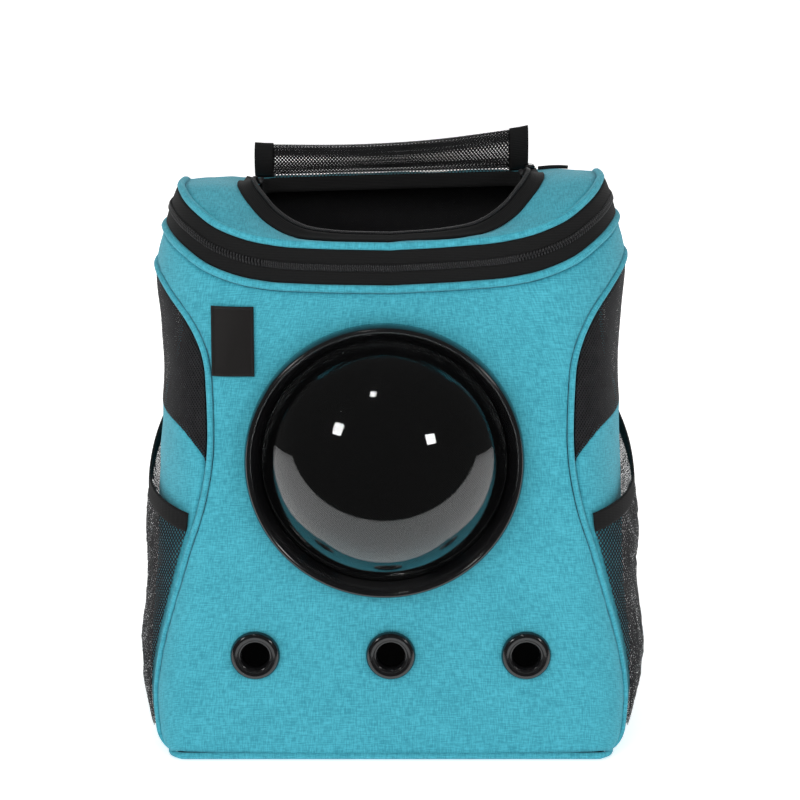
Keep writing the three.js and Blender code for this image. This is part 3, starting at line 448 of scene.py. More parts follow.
def weave_of(tree):
    """The cloth's own coordinates, and how far each place lies across and up it."""
    weave = node(tree, "UVMap", {"uv_map": "weave"})
    return weave, *(node(tree, "SeparateXYZ", None, weave, out=i) for i in (0, 1))


def melange(name, light, dark, size=0.0009, depth=0.00022):
    """A melange plain weave: short light and dark threads both ways, with a fine woven relief."""
    material, tree, shader = finish(name, light, 0.88, Sheen_Weight=0.1, Specular_IOR_Level=0.25)
    weave, spread, rise = weave_of(tree)
    shares = []
    for stretch in ((0.12, 1, 1), (1, 0.12, 1)):
        threads = node(tree, "Mapping", None, weave, Scale=stretch)
        shares.append(node(tree, "TexNoise", None, threads, 1 / size, 3.0, 0.65))
    both = shares[0] * 0.5 + shares[1] * 0.5
    cloudy = node(tree, "TexNoise", None, weave, 30.0, 2.0, 0.5)
    share = (both + cloudy * 0.1 - 0.05).limit(0.36, 0.64)
    colour = mixed(tree, share, (*dark, 1), (*light, 1))
    pitch = 2 * math.pi / (size * 0.85)
    warp = (spread * pitch).maths("SINE")
    weft = (rise * pitch).maths("SINE")
    thread = warp * weft * 0.25 + both * 0.75
    bump = relief(tree, thread, depth, 0.6)
    drive(tree, shader, Base_Color=colour, Normal=bump, Roughness=share * -0.08 + 0.92)
    return material


def plain_cloth(name, colour, size=0.0009, depth=0.0002, ribs=0.0):
    """A dark woven cloth or tape. ribs, in metres, gives it a rib across its width. Its colour is lighter
    at random where the fibres fuzz, and lighter on the raised threads and ribs as a painted highlight.
    """
    # The lighter colour is used both for the fibres' own lighter tone and for the painted highlight on
    # raised threads and ribs.
    lighter = tuple(c * 2.0 + 0.003 for c in colour)
    material, tree, shader = finish(name, colour, 0.85, Sheen_Weight=0.03, Specular_IOR_Level=0.12)
    weave, spread, rise = weave_of(tree)
    warp = (spread * (2 * math.pi / size)).maths("SINE")
    weft = (rise * (2 * math.pi / size)).maths("SINE")
    height = warp * weft * 0.25 + 0.5
    if ribs:
        height = height * 0.4 + (rise * (2 * math.pi / ribs)).maths("SINE") * 0.3 + 0.3
    fuzz = node(tree, "TexNoise", None, weave, 900.0, 3.0, 0.6)
    # Painted highlight: the colour goes lighter with the weave's relief height on raised threads and rib
    # crests. The fuzz adds the fibres' own random lighter tone.
    colour = mixed(tree, (height * 0.6 + fuzz * 0.5).limit(0.2, 1.0), (*colour, 1), (*lighter, 1))
    bump = relief(tree, height, depth, 0.7)
    drive(tree, shader, Base_Color=colour, Normal=bump, Roughness=fuzz * 0.12 + 0.78)
    return material


TEAL = melange("teal_melange", (0.077, 0.45, 0.56), (0.034, 0.265, 0.345))
LINING = plain_cloth("black_lining", (0.006, 0.006, 0.0065))

seam_line = curve_on_skin(SEAM, 0, 17, 136)
front_edge = beside(seam_line, -BESIDE_SEAM + 0.7)
side_edge = beside(seam_line, BESIDE_SEAM - 0.5)
FRONT_TURN = 13
TOP_ROWS = 7
# The front's rows at its middle, beside the seam's steps: share of the wall's length.
FRONT_ROWS = [(0, 0.0125), (1, 0.06), (4, 0.34), (7, 0.62), (10, 0.855), (12, 0.91), (13, 0.927)]


def edge_at(edge, step):
    return along(edge, step / 17)


def front_swell(station, climb, border):
    """The front's soft unevenness, and the small puckers along its seams. border is mm to the seam."""
    x = round_length(station)
    broad = 1.1 * ripple(x, climb, 75, 1) + 0.45 * ripple(x, climb, 28, 2)
    puckers = 0.55 * ripple(x + climb, climb - x, 7, 3) * math.exp(-border / 9)
    sunk = -0.7 * math.exp(-border / 4)
    return broad * (1 - math.exp(-border / 14)) + puckers + sunk


def front_place(across, up):
    rows = FRONT_TURN / (1 - TOP_ROWS / 84)
    step = up * rows
    side = 2 * across - 1
    if step <= FRONT_TURN:
        station, climb = edge_at(front_edge, step)
        share = climb / wall_climb(station)
        middle = read(FRONT_ROWS, step)[0]
    else:
        station, climb = edge_at(front_edge, FRONT_TURN)
        t = (step - FRONT_TURN) / (rows - FRONT_TURN)
        share = blend(climb / wall_climb(station), 1, t)
        middle = blend(FRONT_ROWS[-1][1], 1, t)
    at = side * station
    climb = blend(middle, share, ease(abs(side))) * wall_climb(at)
    above = climb - edge_at(front_edge, min(step, FRONT_TURN))[1]
    to_seam = math.hypot(round_length(station) - round_length(abs(at)), above if step > FRONT_TURN else 0)
    to_top = wall_climb(at) - climb
    return at, climb, front_swell(at, climb, max(min(to_seam, to_top, climb), 0))


def wing_place(across, up):
    station, low = edge_at(front_edge, blend(FRONT_TURN, 17, across))
    top = wall_climb(station)
    climb = blend(low, top, up)
    return station, climb, front_swell(station, climb, max(min(climb - low, top - climb), 0))


def open_round(mesh, across, height, radius):
    """Cuts a round hole in the front and draws its edge to a true circle."""
    middle = Vector((across, 0, height)) * MM

    def reach(vert):
        return math.hypot(vert.co.x - middle.x, vert.co.z - middle.z)

    near = [v for v in mesh.verts if v.co.y < -0.12 and reach(v) < radius * MM]
    bmesh.ops.delete(mesh, geom=near, context="VERTS")
    for vert in mesh.verts:
        if vert.is_boundary and vert.co.y < -0.12 and reach(vert) < (radius + 9) * MM:
            scale = radius * MM / reach(vert)
            vert.co.x = middle.x + (vert.co.x - middle.x) * scale
            vert.co.z = middle.z + (vert.co.z - middle.z) * scale


mesh = bmesh.new()
skin_grid(mesh, 128, 84, front_place)
for side in (1, -1):
    skin_grid(mesh, 56, TOP_ROWS, wing_place, side)
bmesh.ops.remove_doubles(mesh, verts=mesh.verts, dist=0.0006)
open_round(mesh, BUBBLE_ACROSS, BUBBLE_HEIGHT, BUBBLE_HOLE + 1)
for across in VENT_ACROSS:
    open_round(mesh, across, VENT_HEIGHT, VENT_HOLE + 0.5)
piece("front_cloth", mesh, [TEAL, LINING], ["front_panel"], WALL)

# Sides: a gusset of the same teal cloth each side, sewn to the front panel's seam and round the back's
# edge, with a curved opening at the top for the net window.
WINDOW_EDGE = [
    (0, 0.648, 1.09),
    (1, 0.682, 1.23),
    (2, 0.718, 1.48),
    (3, 0.74, 2),
    (4, 0.765, 2.55),
    (5, 0.82, 2.93),
    (6, 0.9, 3),
    (7, 0.968, 3.02),
]
SEAM_TIP = 7.35
SIDES = (("right", 1), ("left", -1))

tip_share = SEAM_TIP / 17
lower_seam = [along(side_edge, tip_share * i / 50) for i in range(51)]
window_edge = curve_on_skin(WINDOW_EDGE, 0, 7, 60)
gusset_edge = lower_seam + window_edge[3:]
gusset_edge[0] = (gusset_edge[0][0], 0)


def gusset_swell(station, climb, border, seed):
    x = round_length(station)
    broad = 2.0 * ripple(x + 0.5 * climb, 0.6 * climb, 46, seed) + 0.7 * ripple(x, climb, 21, seed + 1)
    return broad * (1 - math.exp(-border / 16)) - 0.6 * math.exp(-border / 4)


def gusset_place(seed):
    def place(across, up):
        station, climb = along(gusset_edge, up)
        at = blend(station, 4, across)
        border = min(round_length(at) - round_length(station), round_length(4) - round_length(at))
        return at, climb, gusset_swell(at, climb, max(min(border, climb), 0), seed)

    return place


for side, sign in SIDES:
    mesh = bmesh.new()
    skin_grid(mesh, 60, 110, gusset_place(20 + sign), sign)
    piece("cloth_side_" + side, mesh, [TEAL, LINING], ["side_panel_" + side], WALL)

# Window nets: black knitted net stretched behind the gusset's opening.
NET_THICK = 1.2


def open_net(name, pitch, solid, colour):
    """Knitted net: slanting strands round staggered holes, cut with alpha, with the strands' relief."""
    material, tree, shader = finish(name, colour, 0.65, Specular_IOR_Level=0.15)
    weave, spread, rise = weave_of(tree)
    spread, rise = spread * (math.pi / pitch), rise * (math.pi / (pitch * 1.3))
    strands = ((spread + rise).maths("COSINE") * (spread - rise).maths("COSINE")).maths("ABSOLUTE")
    cover = strands.limit(solid - 0.1, solid + 0.1, 1.0, 0.0)
    shade = node(tree, "TexNoise", None, weave, 120.0, 2.0)
    lighter = tuple(c * 2.6 + 0.006 for c in colour)
    drive(
        tree,
        shader,
        Base_Color=mixed(tree, shade, (*colour, 1), (*lighter, 1)),
        Alpha=cover,
        Normal=relief(tree, strands, 0.0003, 0.6),
    )
    return material


WINDOW_NET = open_net("window_net", 0.0026, 0.6, (0.008, 0.008, 0.009))
POCKET_NET = open_net("pocket_net", 0.0032, 0.4, (0.008, 0.008, 0.009))
BLACK_TAPE = plain_cloth("black_tape", (0.0065, 0.0065, 0.0066), ribs=0.0012)

window_upper = beside(curve_on_skin(SEAM, SEAM_TIP, 15.9, 60), BESIDE_SEAM)
for side, sign in SIDES:

    def net_place(across, up):
        upper, lower = along(window_upper, up), along(window_edge, up)
        station, climb = (blend(a, b, across) for a, b in zip(upper, lower))
        middle = math.sin(math.pi * across) * math.sin(math.pi * up)
        sag = 1.2 * middle + 0.8 * middle * ripple(round_length(station), climb, 30, 31 + sign)
        return station, climb, -0.8 - sag

    mesh = bmesh.new()
    skin_grid(mesh, 40, 70, net_place, sign)
    bmesh.ops.reverse_faces(mesh, faces=mesh.faces)
    piece("net_window_" + side, mesh, [WINDOW_NET], ["window_net_" + side], 0.5)

# Side pockets: slack black net sewn down at its foot and both sides, hung from a black elastic band.
SEAM_POCKET = 5.45
POCKET_FOOT = 34
POCKET_BAND = 14
POCKET_BULGE = {"right": 11, "left": 8}
POCKET_OPEN = 8.5
POCKET_REAR = 3
POCKET_REAR_RISE = 0.64
POCKET_FOLDS = [(0, 0), (0.12, 0.3), (0.36, 1), (0.55, 0.76), (0.66, 0.66), (0.84, 0.86), (1, 0.4)]

pocket_front = beside(curve_on_skin(SEAM, 1, SEAM_POCKET, 40), BESIDE_SEAM + 1)
pocket_top = climb_to(POCKET_REAR, POCKET_REAR_RISE * FRONT_HEIGHT)
for side, sign in SIDES:

    def belly(across, up):
        body = POCKET_BULGE[side] * read(POCKET_FOLDS, up)[0] * math.sin(math.pi * across) ** 0.7
        mouth = POCKET_OPEN * ease((up - 0.75) / 0.25) * math.sin(math.pi * across) ** 2 * across
        return NET_THICK + 4 * GAP + body + mouth

    def pocket_place(across, up):
        front = along(pocket_front, up)
        rear = (POCKET_REAR, blend(POCKET_FOOT, pocket_top, up))
        station, climb = (blend(a, b, across) for a, b in zip(front, rear))
        x = round_length(station)
        slack = math.sin(math.pi * across) ** 0.7 * min(up, 0.25, 1.25 - up) * 4
        crease = abs(ripple(x * 0.9 + climb, (climb - x) * 0.35, 15, 41 + sign))
        return station, climb, belly(across, up) + slack * (1.3 - 3.4 * crease)

    def band_place(across, up):
        station = blend(pocket_front[-1][0] - 0.012 * up, POCKET_REAR, across)
        foot = blend(pocket_front[-1][1], pocket_top, across) + GAP
        gather = 0.35 * math.sin(round_length(station) * 2 * math.pi / 5) * math.sin(math.pi * up)
        return station, foot + up * POCKET_BAND, belly(across, 1) + 0.6 + gather

    mesh = bmesh.new()
    skin_grid(mesh, 64, 80, pocket_place, sign)
    piece("net_pocket_" + side, mesh, [POCKET_NET], ["pocket_net_" + side], 0.5)
    mesh = bmesh.new()
    skin_grid(mesh, 90, 8, band_place, sign)
    piece("elastic_" + side, mesh, [BLACK_TAPE], ["pocket_band_" + side], 1.6)

# Piping: the teal cloth wrapped round a cord and sewn into the seams, with a dark line of shadow beside it.
SEAM_PIPING = 2.4
PIPING_SUNK = 0.5
LID_PIPING_SUNK = 2.6
TAPE_LOWER, TEETH_BAND, TAPE_UPPER = 9.5, 5, 9.5
BAND_HEIGHT = TAPE_LOWER + TEETH_BAND + TAPE_UPPER + 2 * GAP
LID_EDGE = TRIM_STEP + BAND_HEIGHT + GAP


def cord(name, points, radius, material, nodes=(), sides=10, ring=False):
    """A round cord along points in millimetres, with its weave's own coordinates along and round it."""
    mesh = bmesh.new()
    weave = mesh.loops.layers.uv.new("weave")
    count = len(points)
    rows = count if ring else count - 1
    made = bmesh.ops.create_grid(mesh, x_segments=sides, y_segments=rows, size=0.5)["verts"]
    lengths = [0.0]
    for a, b in zip(points, points[1:]):
        lengths.append(lengths[-1] + (b - a).length)
    lengths.append(lengths[-1] + (points[0] - points[-1]).length)
    flat = {}
    up = Vector((0.1, -0.3, 1)).normalized()
    frames = []
    for i, point in enumerate(points):
        after = points[(i + 1) % count] if ring else points[min(i + 1, count - 1)]
        before = points[i - 1] if ring or i else points[0]
        way = (after - before).normalized()
        up = (up - way * way.dot(up)).normalized()
        frames.append((point, up.copy(), way.cross(up)))
    for vert in made:
        i = round((vert.co.y + 0.5) * rows)
        turn = 2 * math.pi * (vert.co.x + 0.5)
        point, out, aside = frames[i % count]
        flat[vert] = (turn * radius * MM, lengths[i] * MM)
        vert.co = (point + (out * math.cos(turn) + aside * math.sin(turn)) * radius) * MM
    lay_weave(mesh.faces, weave, flat.get)
    bmesh.ops.remove_doubles(mesh, verts=mesh.verts, dist=0.00001)
    bmesh.ops.holes_fill(mesh, edges=[e for e in mesh.edges if e.is_boundary], sides=0)
    bmesh.ops.recalc_face_normals(mesh, faces=mesh.faces)
    return piece(name, mesh, [material], nodes)


def on_curve(curve, lift, count):
    return [skin(*along(curve, i / (count - 1)), lift) for i in range(count)]


acrosses = [i / 60 for i in range(-239, 240)]


def around(climb, station):
    """A place round the zip, a climb above the wall's top."""
    return station, wall_climb(station) + climb


foot_line = [(s, climb_to(s, PIPING + GAP)) for s in (i / 20 for i in range(-31, 32))]
whole_seam = [(-s, c) for s, c in reversed(seam_line)] + foot_line + seam_line
seam_points = on_curve(whole_seam, -PIPING_SUNK, 900)
cord("piping_seam", seam_points, SEAM_PIPING, TEAL, ["piping_front"])
zip_foot = [around(PIPING + GAP, s) for s in acrosses]
zip_points = on_curve(zip_foot, -PIPING_SUNK, 420)
cord("piping_below_zip", zip_points, PIPING, TEAL, ["piping_zip"])
lid_foot = [around(LID_EDGE + PIPING, s) for s in acrosses]
lid_points = on_curve(lid_foot, -LID_PIPING_SUNK, 420)
cord("piping_lid_edge", lid_points, PIPING, TEAL, ["piping_lid"])

# Zip round the top: two woven black tapes with a coil of nylon teeth between them.
TEETH_THICK = 2.4
TOOTH_PITCH = 2.1
TAPE_THICK = 1.2
TAPE_TUCKED = 3.2


def moulded(name, colour, roughness, grain=0.04, coat=0.0):
    """Moulded or glossy plastic, with faint unevenness in its gloss."""
    material, tree, shader = finish(name, colour, roughness, Coat_Weight=coat, Coat_Roughness=0.05)
    place = node(tree, "TexCoord", None, out="Object")
    smear = node(tree, "TexNoise", None, place, 45.0, 3.0, 0.6)
    fine = node(tree, "TexNoise", None, place, 900.0, 2.0, 0.5)
    drive(
        tree,
        shader,
        Roughness=smear * grain + (roughness - grain / 2),
        Normal=relief(tree, fine, 0.00003, 0.3),
    )
    return material


NYLON = moulded("nylon_teeth", (0.022, 0.022, 0.023), 0.35, 0.1)


def tape_on_skin(name, foot, top, tuck, node_name):
    """A zip tape from one climb above the wall to another. tuck is how far each edge goes under piping."""

    def place(across, up):
        station = blend(-4, 4, across)
        climb = blend(foot - tuck[0], top + tuck[1], up)
        under = max(ease((foot - climb + 0.5) / 2.5), ease((climb - top + 0.5) / 2.5))
        wave = 0.5 * ripple(round_length(station), foot, 33, 5)
        return (*around(climb, station), wave * (1 - under) - TAPE_TUCKED * under)

    mesh = bmesh.new()
    skin_grid(mesh, 300, 14, place)
    piece(name, mesh, [BLACK_TAPE], [node_name], TAPE_THICK)


chain_foot = TRIM_STEP + TAPE_LOWER + GAP
tape_on_skin("zip_tape_low", TRIM_STEP, chain_foot + 1, (3, 0), "zip_tape_lower")
tape_on_skin("zip_tape_high", chain_foot + TEETH_BAND - 1, LID_EDGE, (0, 3), "zip_tape_upper")


tooth_mesh = bmesh.new()
bmesh.ops.create_uvsphere(tooth_mesh, u_segments=6, v_segments=4, radius=0.5 * MM)
size = Matrix.Diagonal((TOOTH_PITCH * 0.85, TEETH_BAND * 0.72, TEETH_THICK * 0.8, 1))
bmesh.ops.transform(tooth_mesh, verts=tooth_mesh.verts, matrix=size)
tooth = bpy.data.meshes.new("tooth")
tooth_mesh.to_mesh(tooth)
tooth_mesh.free()


def teeth_along(name, places, nodes=()):
    """One bent nylon tooth at each place, given as its middle and its three directions."""
    mesh = bmesh.new()
    for middle, way, wide, out in places:
        turn = Matrix((way, wide, out)).transposed().to_4x4()
        one = tooth.copy()
        one.transform(Matrix.Translation(middle * MM) @ turn)
        mesh.from_mesh(one)
        bpy.data.meshes.remove(one)
    piece(name, mesh, [NYLON], nodes)


places = []
length = round_length(4) * 2
count = int(length / TOOTH_PITCH)
chain_middle = chain_foot + TEETH_BAND / 2
for i in range(count):
    station = blend(-3.97, 3.97, i / (count - 1))
    for half in (-1, 1):
        at = around(chain_middle + half * TEETH_BAND * 0.22, station + 0.006 * half)
        across, up, out = frame_at(*at)
        way = across.normalized()
        wide = out.cross(way)
        slant = (way * 0.25 * half + wide).normalized()
        places.append((skin(*at, 0.3), slant.cross(out), slant, out))
teeth_along("zip_coil", places, ["zip_teeth"])

# Lid: a teal panel sewn inside the zip's upper piping, with a round-fronted mouth cut in it.
LID_THICK = 3
LID_CROWN = 3
LID_DIP = 4
LID_LIFT = 9
LIFT_START = 15
MOUTH_HALF = 106
MOUTH_FRONT, MOUTH_REAR = -117, 88
MOUTH_FRONT_RADIUS, MOUTH_REAR_RADIUS = 80, 14
BACK_THICK, BACK_PROUD = 14, 2
MOUTH_MIDDLE = Vector((0, (MOUTH_FRONT + MOUTH_REAR) / 2))

lid_outline = []
for station, climb in (around(LID_EDGE + PIPING, i / 30) for i in range(-120, 121)):
    point = skin(station, climb, -LID_PIPING_SUNK)
    _, _, nx, ny = plan(station, FRONT_HEIGHT)
    point.x -= nx * (PIPING + GAP)
    point.y = min(point.y - ny * (PIPING + GAP), BACK + BACK_PROUD - BACK_THICK - GAP)
    lid_outline.append(point)
lid_rear = [lid_outline[-1].lerp(lid_outline[0], i / 40) for i in range(1, 40)]
lid_outline += lid_rear


def arc(x, y, radius, start, end, count):
    turns = [math.radians(blend(start, end, i / count)) for i in range(count + 1)]
    return [Vector((x + radius * math.cos(t), y + radius * math.sin(t))) for t in turns]


def mouth_outline(grow=0):
    half, front, rear = MOUTH_HALF + grow, MOUTH_FRONT - grow, MOUTH_REAR + grow
    rf, rr = MOUTH_FRONT_RADIUS + grow, MOUTH_REAR_RADIUS + grow
    return (
        arc(half - rf, front + rf, rf, -90, 0, 24)
        + arc(half - rr, rear - rr, rr, 0, 90, 8)
        + arc(rr - half, rear - rr, rr, 90, 180, 8)
        + arc(rf - half, front + rf, rf, 180, 270, 24)
    )


mouth_line = mouth_outline()


def ray(points, way):
    """How far a ray from the mouth's middle goes to a closed outline, and the outline's height there."""
    best = (0, 0)
    for a, b in zip(points, points[1:] + points[:1]):
        ex, ey = b.x - a.x, b.y - a.y
        ax, ay = a.x - MOUTH_MIDDLE.x, a.y - MOUTH_MIDDLE.y
        bottom = way.x * ey - way.y * ex
        if abs(bottom) < 1e-9:
            continue
        far = (ax * ey - ay * ex) / bottom
        t = (ax * way.y - ay * way.x) / bottom
        if far > best[0] and -1e-6 < t < 1 + 1e-6:
            best = (far, blend(a.z, b.z, t) if len(a) > 2 else 0)
    return best


def on_lid(x, y, lift=0):
    way = Vector((x, y)) - MOUTH_MIDDLE
    length, way = way.length, way.normalized()
    outer, height = ray(lid_outline, way)
    t = (outer - length) / (outer - ray(mouth_line, way)[0])
    crown = LID_CROWN * max(4 * t * (1 - t), 0)
    slope = blend(-LID_DIP, LID_LIFT, ease((y - LIFT_START) / (MOUTH_REAR - LIFT_START)))
    return Vector((x, y, height + slope * t + crown + lift))


mesh = bmesh.new()
weave = mesh.loops.layers.uv.new("weave")
LID_COLS, LID_ROWS = 220, 14
made = bmesh.ops.create_grid(mesh, x_segments=LID_COLS, y_segments=LID_ROWS, size=0.5)["verts"]
outline_length = [0.0]
for a, b in zip(lid_outline, lid_outline[1:] + lid_outline[:1]):
    outline_length.append(outline_length[-1] + (b - a).length)
rays = {}
for i in range(LID_COLS + 1):
    k = i % LID_COLS / LID_COLS * len(lid_outline)
    a, b = lid_outline[int(k)], lid_outline[(int(k) + 1) % len(lid_outline)]
    point = a.lerp(b, k - int(k))
    way = (Vector((point.x, point.y)) - MOUTH_MIDDLE).normalized()
    rays[i] = (way, ray(lid_outline, way), ray(mouth_line, way)[0])
for vert in made:
    i, t = round((vert.co.x + 0.5) * LID_COLS), vert.co.y + 0.5
    way, (outer, height), inner = rays[i]
    spot = MOUTH_MIDDLE + way * blend(outer, inner, t)
    crown = LID_CROWN * 4 * t * (1 - t)
    slope = blend(-LID_DIP, LID_LIFT, ease((spot.y - LIFT_START) / (MOUTH_REAR - LIFT_START)))
    uneven = 1.3 * ripple(spot.x, spot.y, 40, 7) + 0.5 * ripple(spot.x, spot.y, 17, 8)
    uneven *= math.sin(math.pi * t)
    vert.co = Vector((spot.x, spot.y, height + slope * t + crown + uneven)) * MM
bmesh.ops.remove_doubles(mesh, verts=mesh.verts, dist=0.00001)
bmesh.ops.recalc_face_normals(mesh, faces=mesh.faces)
if sum(face.normal.z for face in mesh.faces) < 0:
    bmesh.ops.reverse_faces(mesh, faces=mesh.faces)
lay_weave(mesh.faces, weave, lambda vert: vert.co.xy)
piece("lid_cloth", mesh, [TEAL, LINING], ["lid_panel"], LID_THICK)

# Mouth's edging: half a zip sewn round the mouth, a black tape with teeth along its inner edge, flat at
# the sides and curled up at the front.
EDGING_WIDTH = 11
EDGING_THICK = 1.3
EDGING_LIFT = 8
EDGING_END = MOUTH_REAR - 12


def edging_line(grow, count=181):
    """Points round the mouth from its left rear end, round the front, to its right rear end."""
    half, front, r = MOUTH_HALF + grow, MOUTH_FRONT - grow, MOUTH_FRONT_RADIUS + grow
    line = (
        [Vector((-half, blend(EDGING_END, front + r, i / 30))) for i in range(30)]
        + arc(r - half, front + r, r, 180, 270, 40)
        + [Vector((blend(r - half, half - r, i / 18), front)) for i in range(1, 18)]
        + arc(half - r, front + r, r, -90, 0, 40)
        + [Vector((half, blend(front + r, EDGING_END, i / 30))) for i in range(1, 31)]
    )
    return [along(line, i / (count - 1)) for i in range(count)]


def strip_of(rows, place_flat):
    """A grid whose rows are lists of points in millimetres, with flat coordinates for its weave."""
    mesh = bmesh.new()
    weave = mesh.loops.layers.uv.new("weave")
    count = len(rows[0]) - 1
    made = bmesh.ops.create_grid(mesh, x_segments=count, y_segments=len(rows) - 1, size=0.5)["verts"]
    flat = {}
    for vert in made:
        i, j = round((vert.co.x + 0.5) * count), round((vert.co.y + 0.5) * (len(rows) - 1))
        flat[vert] = place_flat(i, j)
        vert.co = rows[j][i] * MM
    lay_weave(mesh.faces, weave, flat.get)
    return mesh


def curl(y, share):
    return share * EDGING_LIFT * ease((MOUTH_REAR - y) / (MOUTH_REAR - MOUTH_FRONT))


rows = []
for j in range(5):
    share = j / 4
    line = edging_line(EDGING_WIDTH * (1 - share))
    rows.append([on_lid(x, y, GAP + EDGING_THICK + curl(y, share**1.5)) for x, y in line])
edging_mesh = strip_of(rows, lambda i, j: (i * 0.0026, j * EDGING_WIDTH * MM / 4))
piece("mouth_tape", edging_mesh, [BLACK_TAPE], ["mouth_edging"], EDGING_THICK)
inner = rows[-1]
places = []
for i in range(1, len(inner) - 1):
    for half in (0, 0.5):
        middle = inner[i].lerp(inner[i + 1], half)
        way = (inner[i + 1] - inner[i]).normalized()
        wide = (inner[i] - rows[-2][i]).normalized()
        out = way.cross(wide)
        places.append((middle + wide * 1.5 + out * 0.7, way, wide, out))
teeth_along("mouth_teeth", places)

# Rolled flap: the net that closes the mouth, rolled on itself and sewn at the mouth's rear edge, with a
# bound end each side and a hem that hangs in front of the mouth's rear edge.
ROLL_HALF = 111
ROLL_HEIGHT = 36
ROLL_DEPTH = 19
ROLL_BEHIND = 1
ROLL_TURNS = 1.9
ROLL_NARROWS, ROLL_LOWERS = 2.3, 2.6
ROLL_TAPE = 15
ROLL_ENDS = [(0, 0.78), (0.35, 0.72), (0.65, 0.78), (1, 1)]
HEM_HEIGHT = 12
ROLL_NET = open_net("rolled_net", 0.0028, 0.3, (0.006, 0.006, 0.0065))

ROLL_STEPS = 84
ROLL_COLS = 74


def roll_point(x, turns, inset=0.0):
    high = read(ROLL_ENDS, (x + ROLL_HALF) / (2 * ROLL_HALF))[0] * ROLL_HEIGHT
    y = MOUTH_REAR + ROLL_BEHIND
    bottom = roll_floor(x) + GAP
    angle = 2 * math.pi * turns - math.pi / 2
    wide = ROLL_DEPTH / 2 - ROLL_NARROWS * turns - inset
    tall = high / 2 - ROLL_LOWERS * turns - inset
    slack = 0.5 * ripple(x, turns * 40, 19, 9)
    centre = Vector((x, y, bottom + high / 2))
    return centre + Vector((0, (wide + slack) * math.cos(angle), tall * math.sin(angle)))


roll_floors = {x: on_lid(x, MOUTH_REAR + ROLL_BEHIND).z for x in range(-112, 113, 4)}


def roll_floor(x):
    low = 4 * math.floor(x / 4)
    low = min(max(low, -112), 108)
    return blend(roll_floors[low], roll_floors[low + 4], (x - low) / 4)


def roll(name, start, end, cols, materials, nodes, thick, inset=0.0):
    rows = []
    for j in range(ROLL_STEPS + 1):
        turns = ROLL_TURNS * j / ROLL_STEPS
        rows.append([roll_point(blend(start, end, i / cols), turns, inset) for i in range(cols + 1)])
    size = (end - start) / cols * MM
    mesh = strip_of(rows, lambda i, j: (start * MM + i * size, j * 0.0019))
    bmesh.ops.recalc_face_normals(mesh, faces=mesh.faces)
    return piece(name, mesh, materials, nodes, thick)


net_end = ROLL_HALF - ROLL_TAPE
rolled = roll("rolled_net", -net_end, net_end, ROLL_COLS, [ROLL_NET], ["flap_net"], 0.5)
for side, start, end in (("right", net_end, ROLL_HALF), ("left", -ROLL_HALF, -net_end)):
    nodes = ["flap_tape_" + side]
    roll("roll_end_" + side, start, end, 6, [BLACK_TAPE], nodes, 1.2, -0.3)
corner = MOUTH_HALF - MOUTH_REAR_RADIUS
turn_radius = MOUTH_REAR_RADIUS - 1.2
hem_line = arc(corner, MOUTH_REAR - MOUTH_REAR_RADIUS, turn_radius, 10, 90, 12)
hem_line += arc(-corner, MOUTH_REAR - MOUTH_REAR_RADIUS, turn_radius, 90, 170, 12)
hem_rows = []
for j in range(5):
    drop = -HEM_HEIGHT * (1 - j / 4)
    row = []
    for i in range(121):
        x, y = along(hem_line, i / 120) if i % 120 else hem_line[-(i > 0)]
        row.append(on_lid(x, y + 0.5 * ripple(x, drop, 14, 11), drop))
    hem_rows.append(row)
hem = strip_of(hem_rows, lambda i, j: (i * 0.0018, j * 0.003))
bmesh.ops.reverse_faces(hem, faces=hem.faces)
hem_piece = piece("roll_hem", hem, [BLACK_TAPE], ["flap_hem"], 1.2)
turned = [roll_point(0, ROLL_TURNS * j / 400) for j in range(401)]

# Bubble: a clear domed window, heat-formed in one piece with its flange, held by a glossy black ring
# that clips over the front panel's hole.
BEZEL_RADIUS = 103.5
BEZEL_PROUD = 14
DOME_RADIUS = 92
DOME_PROUD = 64
DOME_THICK = 2
DOME_SEAT = 1.5
DOME_FLANGE = 6
SPIN_STEPS = 144

GLOSS = moulded("glossy_black", (0.006, 0.006, 0.0065), 0.16, 0.05, 0.4)
CLEAR, tree, shader = finish(
    "clear_plastic", (0.9, 0.92, 0.92), 0.03, Transmission_Weight=1.0, IOR=1.45, Specular_IOR_Level=0.5
)
smears = node(tree, "TexNoise", None, node(tree, "TexCoord", None, out="Object"), 14.0, 4.0, 0.6)
drive(tree, shader, Roughness=smears.limit(0.45, 0.8, 0.02, 0.07))


def spun(profile, across, height, steps=SPIN_STEPS):
    """A closed ring spun from a profile of (radius, distance out of the front) in millimetres."""
    mesh = bmesh.new()
    corners = [mesh.verts.new((r * MM, 0, t * MM)) for r, t in profile]
    pairs = list(zip(corners, corners[1:]))
    if profile[0][0] > 0.01 or profile[-1][0] > 0.01:
        pairs.append((corners[-1], corners[0]))
    edges = [mesh.edges.new(pair) for pair in pairs]
    bmesh.ops.spin(
        mesh,
        geom=corners + edges,
        cent=(0, 0, 0),
        axis=(0, 0, 1),
        angle=2 * math.pi,
        steps=steps,
        use_merge=True,
    )
    bmesh.ops.remove_doubles(mesh, verts=mesh.verts, dist=0.00001)
    bmesh.ops.recalc_face_normals(mesh, faces=mesh.faces)
    place = Matrix.Translation(Vector((across, FRONT, height)) * MM) @ Matrix.Rotation(math.pi / 2, 4, "X")
    bmesh.ops.transform(mesh, verts=mesh.verts, matrix=place)
    return mesh


neck = DOME_RADIUS + GAP
ring_wide = BEZEL_RADIUS - neck
crown = []
for i in range(21):
    inwards = i / 20
    out = 0.42 + 0.58 * math.sin(math.pi * inwards**0.6) - 0.26 * inwards**2
    crown.append((BEZEL_RADIUS - ring_wide * inwards, BEZEL_PROUD * out))
hole = BUBBLE_HOLE - GAP
bezel = [(neck, -WALL - GAP), (hole, -WALL - GAP), (hole, GAP), (BEZEL_RADIUS, GAP), *crown]
piece("bubble_ring", spun(bezel, BUBBLE_ACROSS, BUBBLE_HEIGHT), [GLOSS], ["bubble_bezel"])


